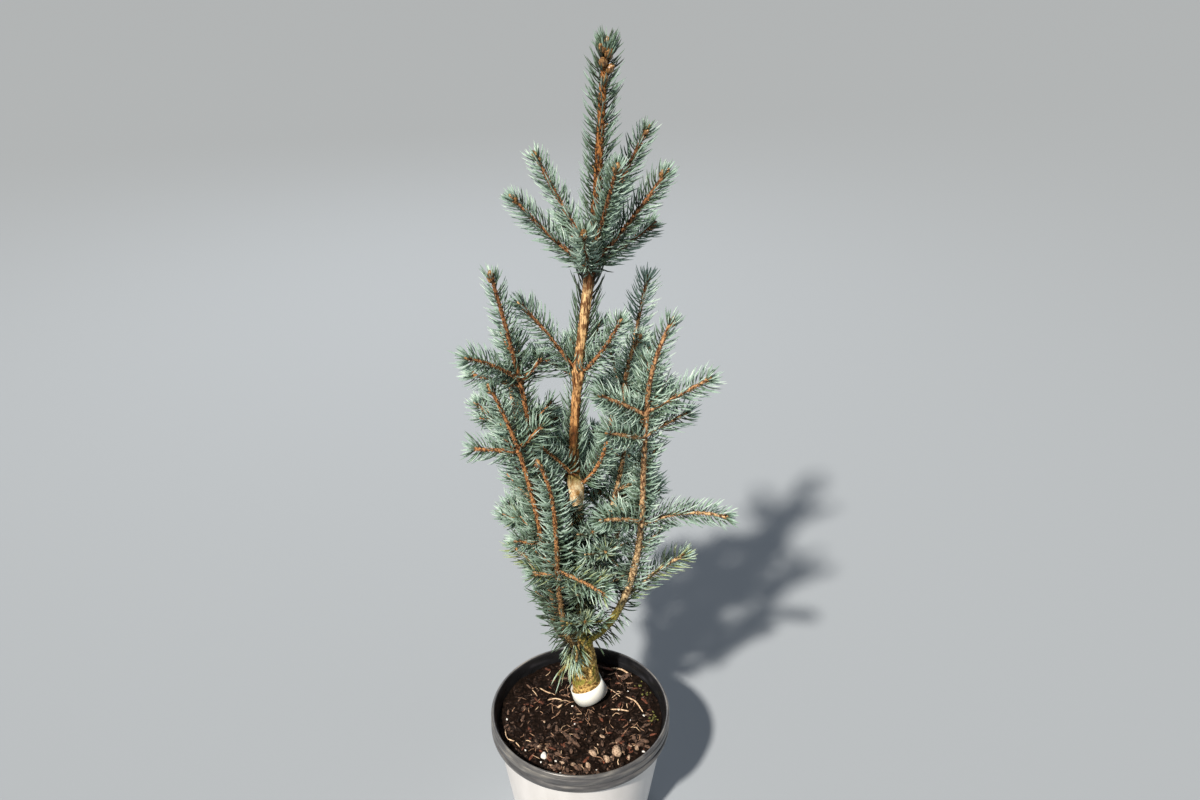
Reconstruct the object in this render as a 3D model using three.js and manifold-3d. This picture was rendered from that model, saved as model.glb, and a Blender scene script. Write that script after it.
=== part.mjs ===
// Potted blue spruce: a young tree with steep boughs, in a dark nursery pot that stands in a white outer pot.
// Millimetres, +Z up. The origin is the middle of the outer pot's flat underside, and the ground is Z = 0.
// -Y is the front, +X the right. A turn is a bearing in degrees: 0 is right, 90 is back, 270 is front.
// A rise is an angle in degrees above level.
import * as THREE from "three";
import Module from "manifold-3d";
import { mergeVertices } from "three/addons/utils/BufferGeometryUtils.js";

const wasm = await Module();
wasm.setup();

// Driving dimensions of the two pots and the compost
const RIM_RADIUS = 95.5; // widest part of the nursery pot's collar: a three litre pot, 19 cm across
const POT_HEIGHT = 150; // top of the collar's lip
const COLLAR_HEIGHT = 23;
const LIP_WIDTH = 5;
const NURSERY_FOOT_RADIUS = 69.5;
const NURSERY_NECK_RADIUS = 87; // just under the collar
const NURSERY_WALL = 1.8;
const OUTER_WALL = 2.2;
const OUTER_FLOOR = 5.7;
const POT_SEGMENTS = 40;
const GAP = 0.3; // between pieces that touch on the real plant
const COMPOST_TOP = 135;
const COMPOST_ROUGHNESS = 2.2;
const COMPOST_RINGS = 5;
const LEVEL_ROUND_TRUNK = 30;

// The blank label: a strip bent into a loose collar round the foot of the trunk. It has slipped down askew,
// so that its left end is pressed into the compost. Its radii are those inside, at the bottom and at the top.
const LABEL = { x: 11.2, y: 28.7, bottom: 137.9, height: 15.7, radii: [19.0, 16.9], wall: 0.9 };
const LABEL_TILT = 23; // degrees, right side up
const LABEL_NOD = -10; // degrees, front up
const LABEL_TAB = { width: 7, height: 6, bearing: 30 }; // the strip's loose end, which stands up behind
const LABEL_SEGMENTS = 28;

// The trunk: its axis and radius at each height, from the flat cut at the compost to the leader's tip
const TRUNK_SIDES = 10;
const LIMB_SIDES = 8;
const LIMB_STATION = 14;
const TRUNK = [
  { height: COMPOST_TOP + GAP, x: 8.4, y: 30, radius: 15.4 },
  { height: 148, x: 7, y: 30, radius: 14.8 },
  { height: 166, x: 5, y: 30, radius: 14.6 },
  { height: 187, x: 3, y: 30, radius: 14.4 },
  { height: 203, x: 1, y: 30, radius: 13.2 },
  { height: 222, x: 0, y: 29, radius: 10.6 },
  { height: 250, x: -1, y: 28, radius: 8.6 },
  { height: 300, x: -2, y: 27, radius: 7.2 },
  { height: 392, x: -2, y: 25, radius: 6.0 },
  { height: 406, x: -2, y: 24, radius: 7.6 },
  { height: 418, x: -3, y: 24, radius: 7.2 },
  { height: 432, x: -3, y: 24, radius: 4.8 },
  { height: 465, x: -4, y: 23, radius: 4.0 },
  { height: 520, x: 0, y: 21, radius: 4.0 },
  { height: 535, x: 1, y: 20, radius: 4.8 },
  { height: 548, x: 2, y: 20, radius: 4.0 },
  { height: 623, x: 11, y: 17, radius: 4.4 },
  { height: 642, x: 13, y: 16, radius: 4.8 },
  { height: 662, x: 15, y: 15, radius: 3.7 },
  { height: 711, x: 19, y: 14, radius: 3.4 },
  { height: 787, x: 23, y: 12, radius: 2.8 },
  { height: 820, x: 26, y: 11, radius: 2.0 },
];
const LEADER_START = 679; // where the leader's own needles start, above the feet of the top whorl
const LEADER_SIDES = 7;
const SHEATH_WALL = 1.5; // of the sheath of needles, round the trunk inside it

// Twigs and needles
const ROUTE_STEP = 1;
const STATION = 7.3; // one ring of needles to the next
const TWIG_SIDES = 3;
const STEM_SIDES = 4; // of the stem of a bough's foliage
const DRIFT = 9; // degrees that the zigzag of facets slowly turns by, so that needles don't stand in rows
const TWIG_FOOT_RADIUS = 2.3;
const TWIG_TIP_RADIUS = 1.6;
const BUD_LENGTH = 5;
const NEEDLE_LENGTH = 18;
const NEEDLE_LEAN = 52; // degrees between a needle and its twig
const TIP_LEAN = 24; // the same at the bud, where the needles close up
const TIP_STARTS = 0.8; // share of the twig from which they do
const LEAN_SPREAD = 7;
const LENGTH_SPREAD = [0.88, 1.12]; // shortest and longest needle, as shares of the usual length
const ROOT_SHARE = 0.4; // how much of a needle counts as its broad root
const ROOT_RADIUS = 2.1;
const POINT_RADIUS = 0.9;
const NEEDLE_CLEAR = 0.4;
const CROSSING_CLEAR = 1.2; // between the points of two needles of one twig
const SEED = 20261;

// Shoots that spring straight from the trunk, whorl by whorl. Two turns or rises are those at foot and tip.
const TOP_WHORL = {
  top_shoot_left_low: { height: 638, turns: [189, 184], rises: [40, 50], length: 89 },
  top_shoot_left_high: { height: 650, turns: [142, 147], rises: [49, 56], length: 95 },
  top_shoot_front: { height: 633, turns: [264, 268], rises: [42, 48], length: 76 },
  top_shoot_front_right: { height: 648, turns: [292, 302], rises: [58, 67], length: 98 },
  top_shoot_right_high: { height: 659, turns: [36, 28], rises: [61, 58], length: 104 },
  top_shoot_right_low: { height: 639, turns: [338, 344], rises: [50, 57], length: 107 },
  top_shoot_back_right: { height: 637, turns: [24, 27], rises: [26, 30], length: 67 },
  top_shoot_back_left: { height: 641, turns: [124, 124], rises: [30, 34], length: 57 },
  top_shoot_back: { height: 649, turns: [60, 57], rises: [43, 47], length: 76 },
};
const UPPER_WHORL = {
  upper_shoot_left: { height: 535, turns: [184, 190], rises: [60, 50], length: 87 },
  upper_shoot_right: { height: 532, turns: [333, 330], rises: [48, 64], length: 77 },
  upper_shoot_back_right: { height: 538, turns: [60, 60], rises: [38, 43], length: 51 },
  upper_shoot_back_left: { height: 533, turns: [153, 153], rises: [14, 20], length: 47 },
  upper_shoot_back: { height: 530, turns: [100, 105], rises: [35, 55], length: 38 },
};
const MIDDLE_WHORL = {
  middle_shoot_left: { height: 422, turns: [226, 222], rises: [56, 46], length: 65 },
  middle_shoot_right: { height: 412, turns: [332, 350, 360], rises: [39, 74, 86], length: 104 },
  middle_shoot_back_left: { height: 418, turns: [145, 150], rises: [18, 22], length: 45 },
  middle_shoot_back: { height: 424, turns: [92, 96], rises: [30, 42], length: 58 },
  middle_shoot_back_right: { height: 416, turns: [45, 38], rises: [30, 48], length: 56 },
};
const FRONT_SPRAYS = {
  front_spray_knot: { height: 384, turns: [250, 262], rises: [30, 46], length: 40 },
  front_spray_top: { height: 352, turns: [306, 276], rises: [34, 42], length: 58 },
  front_spray_side: { height: 330, turns: [236, 252], rises: [36, 52], length: 60 },
  front_spray_high: { height: 322, turns: [330, 268], rises: [42, 34], length: 80 },
  front_spray_middle: { height: 292, turns: [262, 272], rises: [44, 40], length: 60 },
  front_spray_bud: { height: 268, turns: [312, 276], rises: [52, 50], length: 92 },
  front_spray_low: { height: 238, turns: [284, 272], rises: [40, 44], length: 66 },
  foot_spray_front: { height: 224, turns: [266, 262], rises: [4, -30], length: 36 },
  foot_spray_left: { height: 193, turns: [206, 216], rises: [0, -48], length: 34 },
};

// Boughs: each climbs as one limb with a bare foot, and its foliage grows on from there with side shoots.
// "at" is a shoot's distance along its bough.
const BOUGHS = {
  right_front: {
    height: 212, turns: [324, 330, 304, 261, 314, 371], rises: [41, 69, 80, 82, 88, 66], length: 421,
    bare: 84, radius: 4.4,
    shoots: [
      { at: 100, turns: [20, 14], rises: [42, 22], length: 75 },
      { at: 203, turns: [18, -8], rises: [19, -13], length: 83 },
      { at: 207, turns: [226, 216], rises: [36, 16], length: 55 },
      { at: 210, turns: [80, 70], rises: [35, 45], length: 46 },
      { at: 304, turns: [225, 224], rises: [31, 25], length: 53 },
      { at: 308, turns: [33, 30], rises: [17, 8], length: 47 },
      { at: 322, turns: [152, 148], rises: [14, 20], length: 34 },
      { at: 329, turns: [216, 204], rises: [38, 30], length: 56 },
      { at: 333, turns: [3, -3], rises: [29, 33], length: 61 },
      { at: 336, turns: [88, 80], rises: [44, 52], length: 44 },
    ],
  },
  right_back: {
    height: 282, turns: [14, 19, 14, -31, -55], rises: [62, 73, 81, 95, 57], length: 297,
    bare: 40, radius: 3.4,
    shoots: [
      { at: 118, turns: [50, 44], rises: [34, 42], length: 52 },
      { at: 124, turns: [350, 346], rises: [30, 44], length: 38 },
      { at: 229, turns: [118, 110], rises: [40, 52], length: 52 },
      { at: 233, turns: [50, 46], rises: [34, 46], length: 48 },
      { at: 237, turns: [34, 24], rises: [78, 78], length: 107 },
    ],
  },
  left_tall: {
    height: 196, turns: [176, 238, 218, 217, 205, 202], rises: [44, 92, 81, 85, 79, 77], length: 455,
    bare: 48, radius: 4.0,
    shoots: [
      { at: 126, turns: [168, 160], rises: [24, 36], length: 46 },
      { at: 232, turns: [150, 144], rises: [30, 44], length: 50 },
      { at: 238, turns: [78, 84], rises: [36, 46], length: 40 },
      { at: 341, turns: [98, 102], rises: [40, 52], length: 48 },
      { at: 344, turns: [174, 176], rises: [16, 11], length: 46 },
      { at: 349, turns: [24, 26], rises: [38, 50], length: 29 },
      { at: 352, turns: [224, 216], rises: [44, 26], length: 65 },
    ],
  },
  left_middle: {
    height: 226, turns: [212, 235, 229, 204, 185], rises: [46, 80, 81, 77, 67], length: 333,
    bare: 40, radius: 3.4,
    shoots: [
      { at: 150, turns: [196, 200], rises: [22, 16], length: 26 },
      { at: 259, turns: [118, 112], rises: [26, 40], length: 30 },
      { at: 263, turns: [188, 187], rises: [10, 6], length: 41 },
      { at: 266, turns: [16, 26], rises: [36, 44], length: 30 },
    ],
  },
  left_front: {
    height: 204, turns: [244, 229, 276, 259, 211], rises: [40, 84, 71, 82, 67], length: 294,
    bare: 34, radius: 3.4,
    shoots: [
      { at: 142, turns: [185, 186], rises: [8, 2], length: 23 },
      { at: 147, turns: [316, 328], rises: [18, -18], length: 60 },
    ],
  },
  back_left: {
    height: 226, turns: [136, 146, 134, 150], rises: [40, 74, 82, 78], length: 296,
    bare: 44, radius: 3.6, nodes: [0.42, 0.76],
  },
  back_right: {
    height: 240, turns: [40, 50, 46, 34], rises: [40, 76, 84, 76], length: 318,
    bare: 44, radius: 3.6, nodes: [0.4, 0.74],
  },
  back_middle: {
    height: 298, turns: [90, 94, 90], rises: [34, 68, 80], length: 168,
    bare: 36, radius: 3.0, nodes: [0.68],
  },
};
// The rule for side shoots at the nodes of the boughs that stand behind
const NODE_SHOOTS = 4;
const NODE_SPREAD = 150; // degrees either side of the bough's own bearing
const NODE_LENGTHS = [34, 56];
const NODE_RISES = [22, 44];

const COLOURS = {
  outerPot: { color: 0xdcdbdb, roughness: 0.45 },
  nurseryPot: { color: 0x35353a, roughness: 0.5 },
  compost: { color: 0x2f251f, roughness: 1.0 },
  label: { color: 0xf4f4ec, roughness: 0.5 },
  trunk: { color: 0xa88358, roughness: 0.9 },
  bark: { color: 0x9c6a40, roughness: 0.9 },
  needles: { color: 0x86a095, roughness: 0.6 },
};

const group = new THREE.Group();
group.name = "potted_blue_spruce";

// A small repeatable random source, so that every build grows the same plant.
function seededRandom(seed) {
  let state = seed;
  return () => {
    state = (state * 48271) % 2147483647;
    return state / 2147483647;
  };
}

const between = ([low, high], share) => low + (high - low) * share;

function addMesh(name, geometry, finish) {
  geometry.computeVertexNormals();
  const mesh = new THREE.Mesh(geometry, new THREE.MeshStandardMaterial({ metalness: 0, ...finish }));
  mesh.name = name;
  group.add(mesh);
}

function solidOf(geometry) {
  const bare = geometry.clone();
  bare.deleteAttribute("normal");
  bare.deleteAttribute("uv");
  const merged = mergeVertices(bare, 1e-4);
  return new wasm.Manifold(new wasm.Mesh({
    numProp: 3,
    vertProperties: new Float32Array(merged.attributes.position.array),
    triVerts: new Uint32Array(merged.index.array),
  }));
}

function geometryOf(solid) {
  const { vertProperties, triVerts } = solid.getMesh();
  const geometry = new THREE.BufferGeometry();
  geometry.setAttribute("position", new THREE.BufferAttribute(vertProperties, 3));
  geometry.setIndex(new THREE.BufferAttribute(triVerts, 1));
  return geometry;
}

// A round piece turned about the upright axis, from its profile of [radius, height] points.
function turned(profile) {
  const points = profile.map(([radius, height]) => new THREE.Vector2(radius, height));
  return new THREE.LatheGeometry(points, POT_SEGMENTS).rotateX(Math.PI / 2);
}

// Radius of the nursery pot's outer wall at a height under the collar
function nurseryRadius(height) {
  const share = (height - OUTER_FLOOR - GAP) / (POT_HEIGHT - COLLAR_HEIGHT - OUTER_FLOOR - GAP);
  return NURSERY_FOOT_RADIUS + (NURSERY_NECK_RADIUS - NURSERY_FOOT_RADIUS) * share;
}

function makeNurseryPot() {
  const floor = OUTER_FLOOR + GAP;
  const collarFoot = POT_HEIGHT - COLLAR_HEIGHT;
  const lip = RIM_RADIUS - LIP_WIDTH;
  const geometry = turned([
    [0, floor],
    [NURSERY_FOOT_RADIUS, floor],
    [NURSERY_NECK_RADIUS, collarFoot],
    [RIM_RADIUS - 1, collarFoot],
    [RIM_RADIUS, collarFoot + 4],
    [RIM_RADIUS, POT_HEIGHT - 6],
    [RIM_RADIUS - 1.4, POT_HEIGHT - 1.4],
    [RIM_RADIUS - LIP_WIDTH / 2, POT_HEIGHT],
    [lip + 0.6, POT_HEIGHT - 1.2],
    [lip, POT_HEIGHT - 4],
    [NURSERY_NECK_RADIUS - NURSERY_WALL, collarFoot],
    [NURSERY_FOOT_RADIUS - NURSERY_WALL, floor + NURSERY_WALL],
    [0, floor + NURSERY_WALL],
  ]);
  addMesh("nursery_pot", geometry, COLOURS.nurseryPot);
}

function makeOuterPot() {
  const top = POT_HEIGHT - COLLAR_HEIGHT - GAP;
  const inside = (height) => nurseryRadius(height) + GAP;
  const outside = (height) => inside(height) + OUTER_WALL;
  const geometry = turned([
    [0, 0],
    [outside(0) - 2, 0],
    [outside(0), 2],
    [outside(top), top],
    [inside(top), top],
    [inside(OUTER_FLOOR), OUTER_FLOOR],
    [0, OUTER_FLOOR],
  ]);
  addMesh("outer_pot", geometry, COLOURS.outerPot);
}

// Compost: fills the nursery pot. Its lumpy top is level round the trunk, and the label has a pocket in it.
function makeCompost(pocket) {
  const random = seededRandom(SEED);
  const floor = OUTER_FLOOR + GAP + NURSERY_WALL + GAP;
  const inside = (height) => nurseryRadius(height) - NURSERY_WALL - 2 * GAP;
  const positions = [0, 0, COMPOST_TOP];
  const foot = TRUNK[0];
  for (let ring = 1; ring <= COMPOST_RINGS; ring++) {
    const radius = inside(COMPOST_TOP - COMPOST_ROUGHNESS) * (ring / COMPOST_RINGS);
    for (let sector = 0; sector < POT_SEGMENTS; sector++) {
      const angle = (2 * Math.PI * sector) / POT_SEGMENTS;
      const [x, y] = [radius * Math.cos(angle), radius * Math.sin(angle)];
      const lump = (random() - 0.5) * 2 * COMPOST_ROUGHNESS;
      const level = Math.hypot(x - foot.x, y - foot.y) < LEVEL_ROUND_TRUNK;
      positions.push(x, y, COMPOST_TOP + (level ? 0 : lump));
    }
  }
  for (let sector = 0; sector < POT_SEGMENTS; sector++) {
    const angle = (2 * Math.PI * sector) / POT_SEGMENTS;
    positions.push(inside(floor) * Math.cos(angle), inside(floor) * Math.sin(angle), floor);
  }
  positions.push(0, 0, floor);
  const at = (ring, sector) => 1 + (ring - 1) * POT_SEGMENTS + (sector % POT_SEGMENTS);
  const faces = [];
  for (let sector = 0; sector < POT_SEGMENTS; sector++) {
    faces.push(0, at(1, sector), at(1, sector + 1));
    for (let ring = 1; ring <= COMPOST_RINGS; ring++) {
      const [a, b] = [at(ring, sector), at(ring, sector + 1)];
      const [c, d] = [at(ring + 1, sector + 1), at(ring + 1, sector)];
      faces.push(a, d, c, a, c, b);
    }
    faces.push(positions.length / 3 - 1, at(COMPOST_RINGS + 1, sector + 1), at(COMPOST_RINGS + 1, sector));
  }
  const filling = solidOf(meshFrom(positions, faces)).subtract(pocket);
  addMesh("compost", geometryOf(mainBody(filling)), COLOURS.compost);
}

function meshFrom(positions, faces) {
  const geometry = new THREE.BufferGeometry();
  geometry.setAttribute("position", new THREE.Float32BufferAttribute(positions, 3));
  geometry.setIndex(faces);
  return geometry;
}

// The trunk's axis and radius at any height, between the stated ones
function trunkAt(height) {
  const next = Math.max(1, TRUNK.findIndex((s) => s.height >= height));
  const upper = height > TRUNK.at(-1).height ? TRUNK.length - 1 : next;
  const [low, high] = [TRUNK[upper - 1], TRUNK[upper]];
  const share = (height - low.height) / (high.height - low.height);
  const mix = (key) => low[key] + (high[key] - low[key]) * share;
  return { axis: new THREE.Vector3(mix("x"), mix("y"), height), radius: mix("radius") };
}

// A closed tube through rings of points, all with as many points, with flat ends
function closedTube(rings) {
  const sides = rings[0].length;
  const top = (rings.length - 1) * sides;
  const faces = [];
  for (let first = 0; first < top; first += sides) {
    for (let side = 0; side < sides; side++) {
      const [a, b] = [first + side, first + ((side + 1) % sides)];
      faces.push(a, b, b + sides, a, b + sides, a + sides);
    }
  }
  for (let side = 1; side < sides - 1; side++) {
    faces.push(0, side + 1, side);
    faces.push(top, top + side, top + side + 1);
  }
  return meshFrom(rings.flat().flatMap((point) => point.toArray()), faces);
}

// Points evenly spaced round a centre, in the plane of two side directions
function ringOfPoints(centre, across, up, radius, sides, turn = 0) {
  return Array.from({ length: sides }, (_, side) => {
    const angle = (2 * Math.PI * side) / sides + turn;
    return centre.clone()
      .addScaledVector(across, radius * Math.cos(angle))
      .addScaledVector(up, radius * Math.sin(angle));
  });
}

// The trunk as level rings round its axis, made larger all over by "extra"
function trunkTube(extra) {
  const [right, back] = [new THREE.Vector3(1, 0, 0), new THREE.Vector3(0, 1, 0)];
  return closedTube(TRUNK.map(({ height, x, y, radius }, ring) => {
    const isFoot = ring === 0;
    const isTip = ring === TRUNK.length - 1;
    const level = height + (isTip ? extra : 0) - (isFoot ? extra : 0);
    const reach = radius + extra / Math.cos(Math.PI / TRUNK_SIDES);
    return ringOfPoints(new THREE.Vector3(x, y, level), right, back, reach, TRUNK_SIDES);
  }));
}

// The label's strip, made larger all over by "extra"
function labelRing(extra) {
  const { x, y, bottom, height, radii, wall } = LABEL;
  const corner = (radius, level) => new THREE.Vector2(radius, level);
  const ring = new THREE.LatheGeometry([
    corner(radii[0] - extra, -extra),
    corner(radii[0] + wall + extra, -extra),
    corner(radii[1] + wall + extra, height + extra),
    corner(radii[1] - extra, height + extra),
    corner(radii[0] - extra, -extra),
  ], LABEL_SEGMENTS).rotateX(Math.PI / 2);
  const tab = new THREE.BoxGeometry(wall + 2 * extra, LABEL_TAB.width, LABEL_TAB.height * 2)
    .translate(radii[1] + wall / 2, 0, height)
    .rotateZ(THREE.MathUtils.degToRad(LABEL_TAB.bearing));
  return solidOf(geometryOf(solidOf(ring).add(solidOf(tab)))
    .rotateX(THREE.MathUtils.degToRad(LABEL_NOD))
    .rotateY(THREE.MathUtils.degToRad(-LABEL_TILT))
    .translate(x, y, bottom));
}

// The route of a shoot or bough: it leaves "foot" and turns and climbs evenly between the given headings.
function route(foot, { turns, rises, length }) {
  const steps = Math.round(length / ROUTE_STEP);
  const heading = (list, share) => {
    const place = share * (list.length - 1);
    const knot = Math.min(Math.floor(place), list.length - 2);
    return THREE.MathUtils.degToRad(list[knot] + (list[knot + 1] - list[knot]) * (place - knot));
  };
  const points = [foot.clone()];
  const headings = [];
  for (let i = 0; i < steps; i++) {
    const share = (i + 0.5) / steps;
    const [turn, rise] = [heading(turns, share), heading(rises, share)];
    const forward = new THREE.Vector3(
      Math.cos(rise) * Math.cos(turn), Math.cos(rise) * Math.sin(turn), Math.sin(rise));
    headings.push(forward);
    points.push(points.at(-1).clone().addScaledVector(forward, length / steps));
  }
  const index = (run) => Math.min(steps - 1, Math.max(0, Math.floor((run / length) * steps)));
  return {
    length,
    forwardAt: (run) => headings[index(run)],
    pointAt: (run) => points[index(run)].clone()
      .addScaledVector(headings[index(run)], run - (index(run) * length) / steps),
  };
}

// Everything that a needle must stay clear of: limbs, twigs and needles as thick line segments
const taken = [];

function take(from, to, radius, owner, isPoint = false) {
  const middle = from.clone().add(to).multiplyScalar(0.5);
  taken.push({ from, to, radius, owner, isPoint, middle, reach: from.distanceTo(to) / 2 });
}

// Shortest distance between two line segments
function segmentDistance(a0, a1, b0, b1) {
  const [u, v, w] = [a1.clone().sub(a0), b1.clone().sub(b0), a0.clone().sub(b0)];
  const [a, b, c, d, e] = [u.dot(u), u.dot(v), v.dot(v), u.dot(w), v.dot(w)];
  const clamp = (x) => Math.min(1, Math.max(0, x));
  const det = a * c - b * b;
  let s = det > 1e-9 ? clamp((b * e - c * d) / det) : 0;
  const t = clamp((b * s + e) / c);
  s = clamp((b * t - d) / a);
  return w.addScaledVector(u, s).addScaledVector(v, -t).length();
}

function isClear(from, to, radius, owner, isPoint, within) {
  const middle = from.clone().add(to).multiplyScalar(0.5);
  const reach = from.distanceTo(to) / 2;
  return taken.every((other) => {
    if (other.owner === within || (other.owner === owner && !(isPoint && other.isPoint))) return true;
    const near = other.owner === owner ? CROSSING_CLEAR : radius + other.radius + NEEDLE_CLEAR;
    if (middle.distanceTo(other.middle) > near + reach + other.reach) return true;
    return segmentDistance(from, to, other.from, other.to) > near;
  });
}

// True where a whole side shoot stays clear of everything outside its own mass
function isRouteClear(path, mass) {
  const places = stationsOf(path, 0, path.length, STATION).map(({ centre }) => centre);
  const others = taken.filter(({ owner }) => !owner.startsWith(mass + "_"));
  return places.slice(1).every((to, i) => others.every((other) =>
    segmentDistance(places[i], to, other.from, other.to) > 2 * TWIG_FOOT_RADIUS + other.radius));
}

// True where a needle's tip is clear of the compost and of the pot's lip
function isOverPot({ x, y, z }) {
  const isInsideLip = Math.hypot(x, y) < RIM_RADIUS - 2 * LIP_WIDTH;
  return z > COMPOST_TOP + 2 * COMPOST_ROUGHNESS && (isInsideLip || z > POT_HEIGHT + POINT_RADIUS);
}

// The rings of a twig or limb: even stations along the route, each with place, heading and side directions
function stationsOf(path, start, end, spacing) {
  const count = Math.max(1, Math.round((end - start) / spacing));
  let across = new THREE.Vector3(0.3, 0.9, -0.2);
  return Array.from({ length: count + 1 }, (_, i) => {
    const run = start + ((end - start) * i) / count;
    const forward = path.forwardAt(run).clone();
    across = across.clone().addScaledVector(forward, -across.dot(forward)).normalize();
    const up = forward.clone().cross(across);
    return { share: i / count, centre: path.pointAt(run), forward, across, up };
  });
}

// A twig is a slim tube. Each of its facets between two stations has one triangle drawn out into a needle.
// A sheath is a wide twig round the limb that it names as "within", and is cut clear of it later.
function needleTwig({ path, start = 0, radii, sides = TWIG_SIDES, owner, within, bare, random }) {
  const stations = stationsOf(path, start, path.length, STATION);
  const radiusAt = (share) => (typeof radii === "function" ? radii(share) : between(radii, share));
  const twist = THREE.MathUtils.degToRad(DRIFT) - Math.PI / sides;
  const corners = stations.flatMap(({ centre, across, up, share }, ring) =>
    ringOfPoints(centre, across, up, radiusAt(share), sides, twist * ring));
  const faces = [];
  const last = stations.length - 1;
  for (let ring = 0; ring < last; ring++) {
    const isBare = start + (ring + 0.5) * STATION <= bare;
    for (let side = 0; side < sides; side++) {
      const [a, b] = [ring * sides + side, ring * sides + ((side + 1) % sides)];
      const halves = [[a, b, b + sides], [a, b + sides, a + sides]];
      const chosen = random() < 0.5 ? 0 : 1;
      const base = halves[chosen].map((index) => corners[index]);
      const tip = isBare ? null : needleTip(base, stations[ring], ring / last, random);
      faces.push(...halves[1 - chosen]);
      if (tip && claimNeedle(base, tip, owner, within)) {
        const [p, q, r] = halves[chosen];
        const apex = corners.length;
        corners.push(tip);
        faces.push(p, q, apex, q, r, apex, r, p, apex);
      } else {
        faces.push(...halves[chosen]);
      }
    }
  }
  corners.push(stations[last].centre.clone().addScaledVector(stations[last].forward, BUD_LENGTH));
  for (let side = 0; side < sides; side++) {
    faces.push(last * sides + side, last * sides + ((side + 1) % sides), corners.length - 1);
    if (side > 0 && side < sides - 1) faces.push(0, side + 1, side);
  }
  return solidOf(meshFrom(corners.flatMap((point) => point.toArray()), faces));
}

const middleOf = (triangle) =>
  triangle.reduce((sum, point) => sum.add(point), new THREE.Vector3()).divideScalar(3);

// Takes the room for a needle and says yes, or says no where it would touch something or reach the pot.
function claimNeedle(triangle, tip, owner, within) {
  const base = middleOf(triangle);
  const neck = base.clone().lerp(tip, ROOT_SHARE);
  const isFree = isOverPot(tip)
    && isClear(base, neck, ROOT_RADIUS, owner, false, within)
    && isClear(neck, tip, POINT_RADIUS, owner, true, within);
  if (isFree) {
    take(base, neck, ROOT_RADIUS, owner);
    take(neck, tip, POINT_RADIUS, owner, true);
  }
  return isFree;
}

// A needle leans forward from its facet, and more so towards the bud.
function needleTip(triangle, station, share, random) {
  const [p, q, r] = triangle;
  const outward = q.clone().sub(p).cross(r.clone().sub(p)).normalize();
  outward.addScaledVector(station.forward, -outward.dot(station.forward)).normalize();
  const closing = THREE.MathUtils.smoothstep(share, TIP_STARTS, 1);
  const lean = THREE.MathUtils.lerp(NEEDLE_LEAN, TIP_LEAN, closing) + (random() - 0.5) * 2 * LEAN_SPREAD;
  const angle = THREE.MathUtils.degToRad(lean);
  const length = NEEDLE_LENGTH * between(LENGTH_SPREAD, random());
  return middleOf(triangle)
    .addScaledVector(outward, length * Math.sin(angle))
    .addScaledVector(station.forward, length * Math.cos(angle));
}

// A plain tapering limb with flat ends
function limb(path, end, radii) {
  return closedTube(stationsOf(path, 0, end, LIMB_STATION).map(({ centre, across, up, share }) =>
    ringOfPoints(centre, across, up, between(radii, share), LIMB_SIDES)));
}

// Enters a route in the list of what is taken, a short stretch at a time, and the bud at its end
function takeRoute(path, start, end, radii, owner) {
  const stations = stationsOf(path, start, end, STATION);
  for (let i = 1; i < stations.length; i++) {
    take(stations[i - 1].centre, stations[i].centre, between(radii, stations[i].share), owner);
  }
  const { centre, forward } = stations.at(-1);
  take(centre, centre.clone().addScaledVector(forward, BUD_LENGTH), radii[1], owner);
}

// The largest single body of a solid, without the scraps that a cut leaves
function mainBody(solid) {
  return solid.decompose().sort((a, b) => b.volume() - a.volume())[0];
}

// Side shoots for a bough that stands behind: a fan of them at each node, by the seeded rule
function nodeShoots(bough, random) {
  const shoots = [...(bough.shoots ?? [])];
  for (const node of bough.nodes ?? []) {
    const own = bough.turns[Math.round(node * (bough.turns.length - 1))];
    for (let i = 0; i < NODE_SHOOTS; i++) {
      const turn = own - NODE_SPREAD + (2 * NODE_SPREAD * (i + 0.5)) / NODE_SHOOTS + (random() - 0.5) * 20;
      const rise = between(NODE_RISES, random());
      shoots.push({
        at: bough.length * node + 3 * i,
        turns: [turn, turn + (own - turn) * 0.15],
        rises: [rise, rise + 8],
        length: between(NODE_LENGTHS, random()),
      });
    }
  }
  return shoots;
}

makeOuterPot();
makeNurseryPot();
makeCompost(labelRing(GAP));
addMesh("trunk", trunkTube(0), COLOURS.trunk);
const trunkRoom = solidOf(trunkTube(GAP)); // the trunk with its clearance, which the rest is cut by
addMesh("trunk_label", geometryOf(mainBody(labelRing(0).subtract(trunkRoom))), COLOURS.label);
for (let i = 1; i < TRUNK.length; i++) {
  const [low, high] = [trunkAt(TRUNK[i - 1].height), trunkAt(TRUNK[i].height)];
  take(low.axis, high.axis, Math.max(low.radius, high.radius), "trunk");
}

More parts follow.
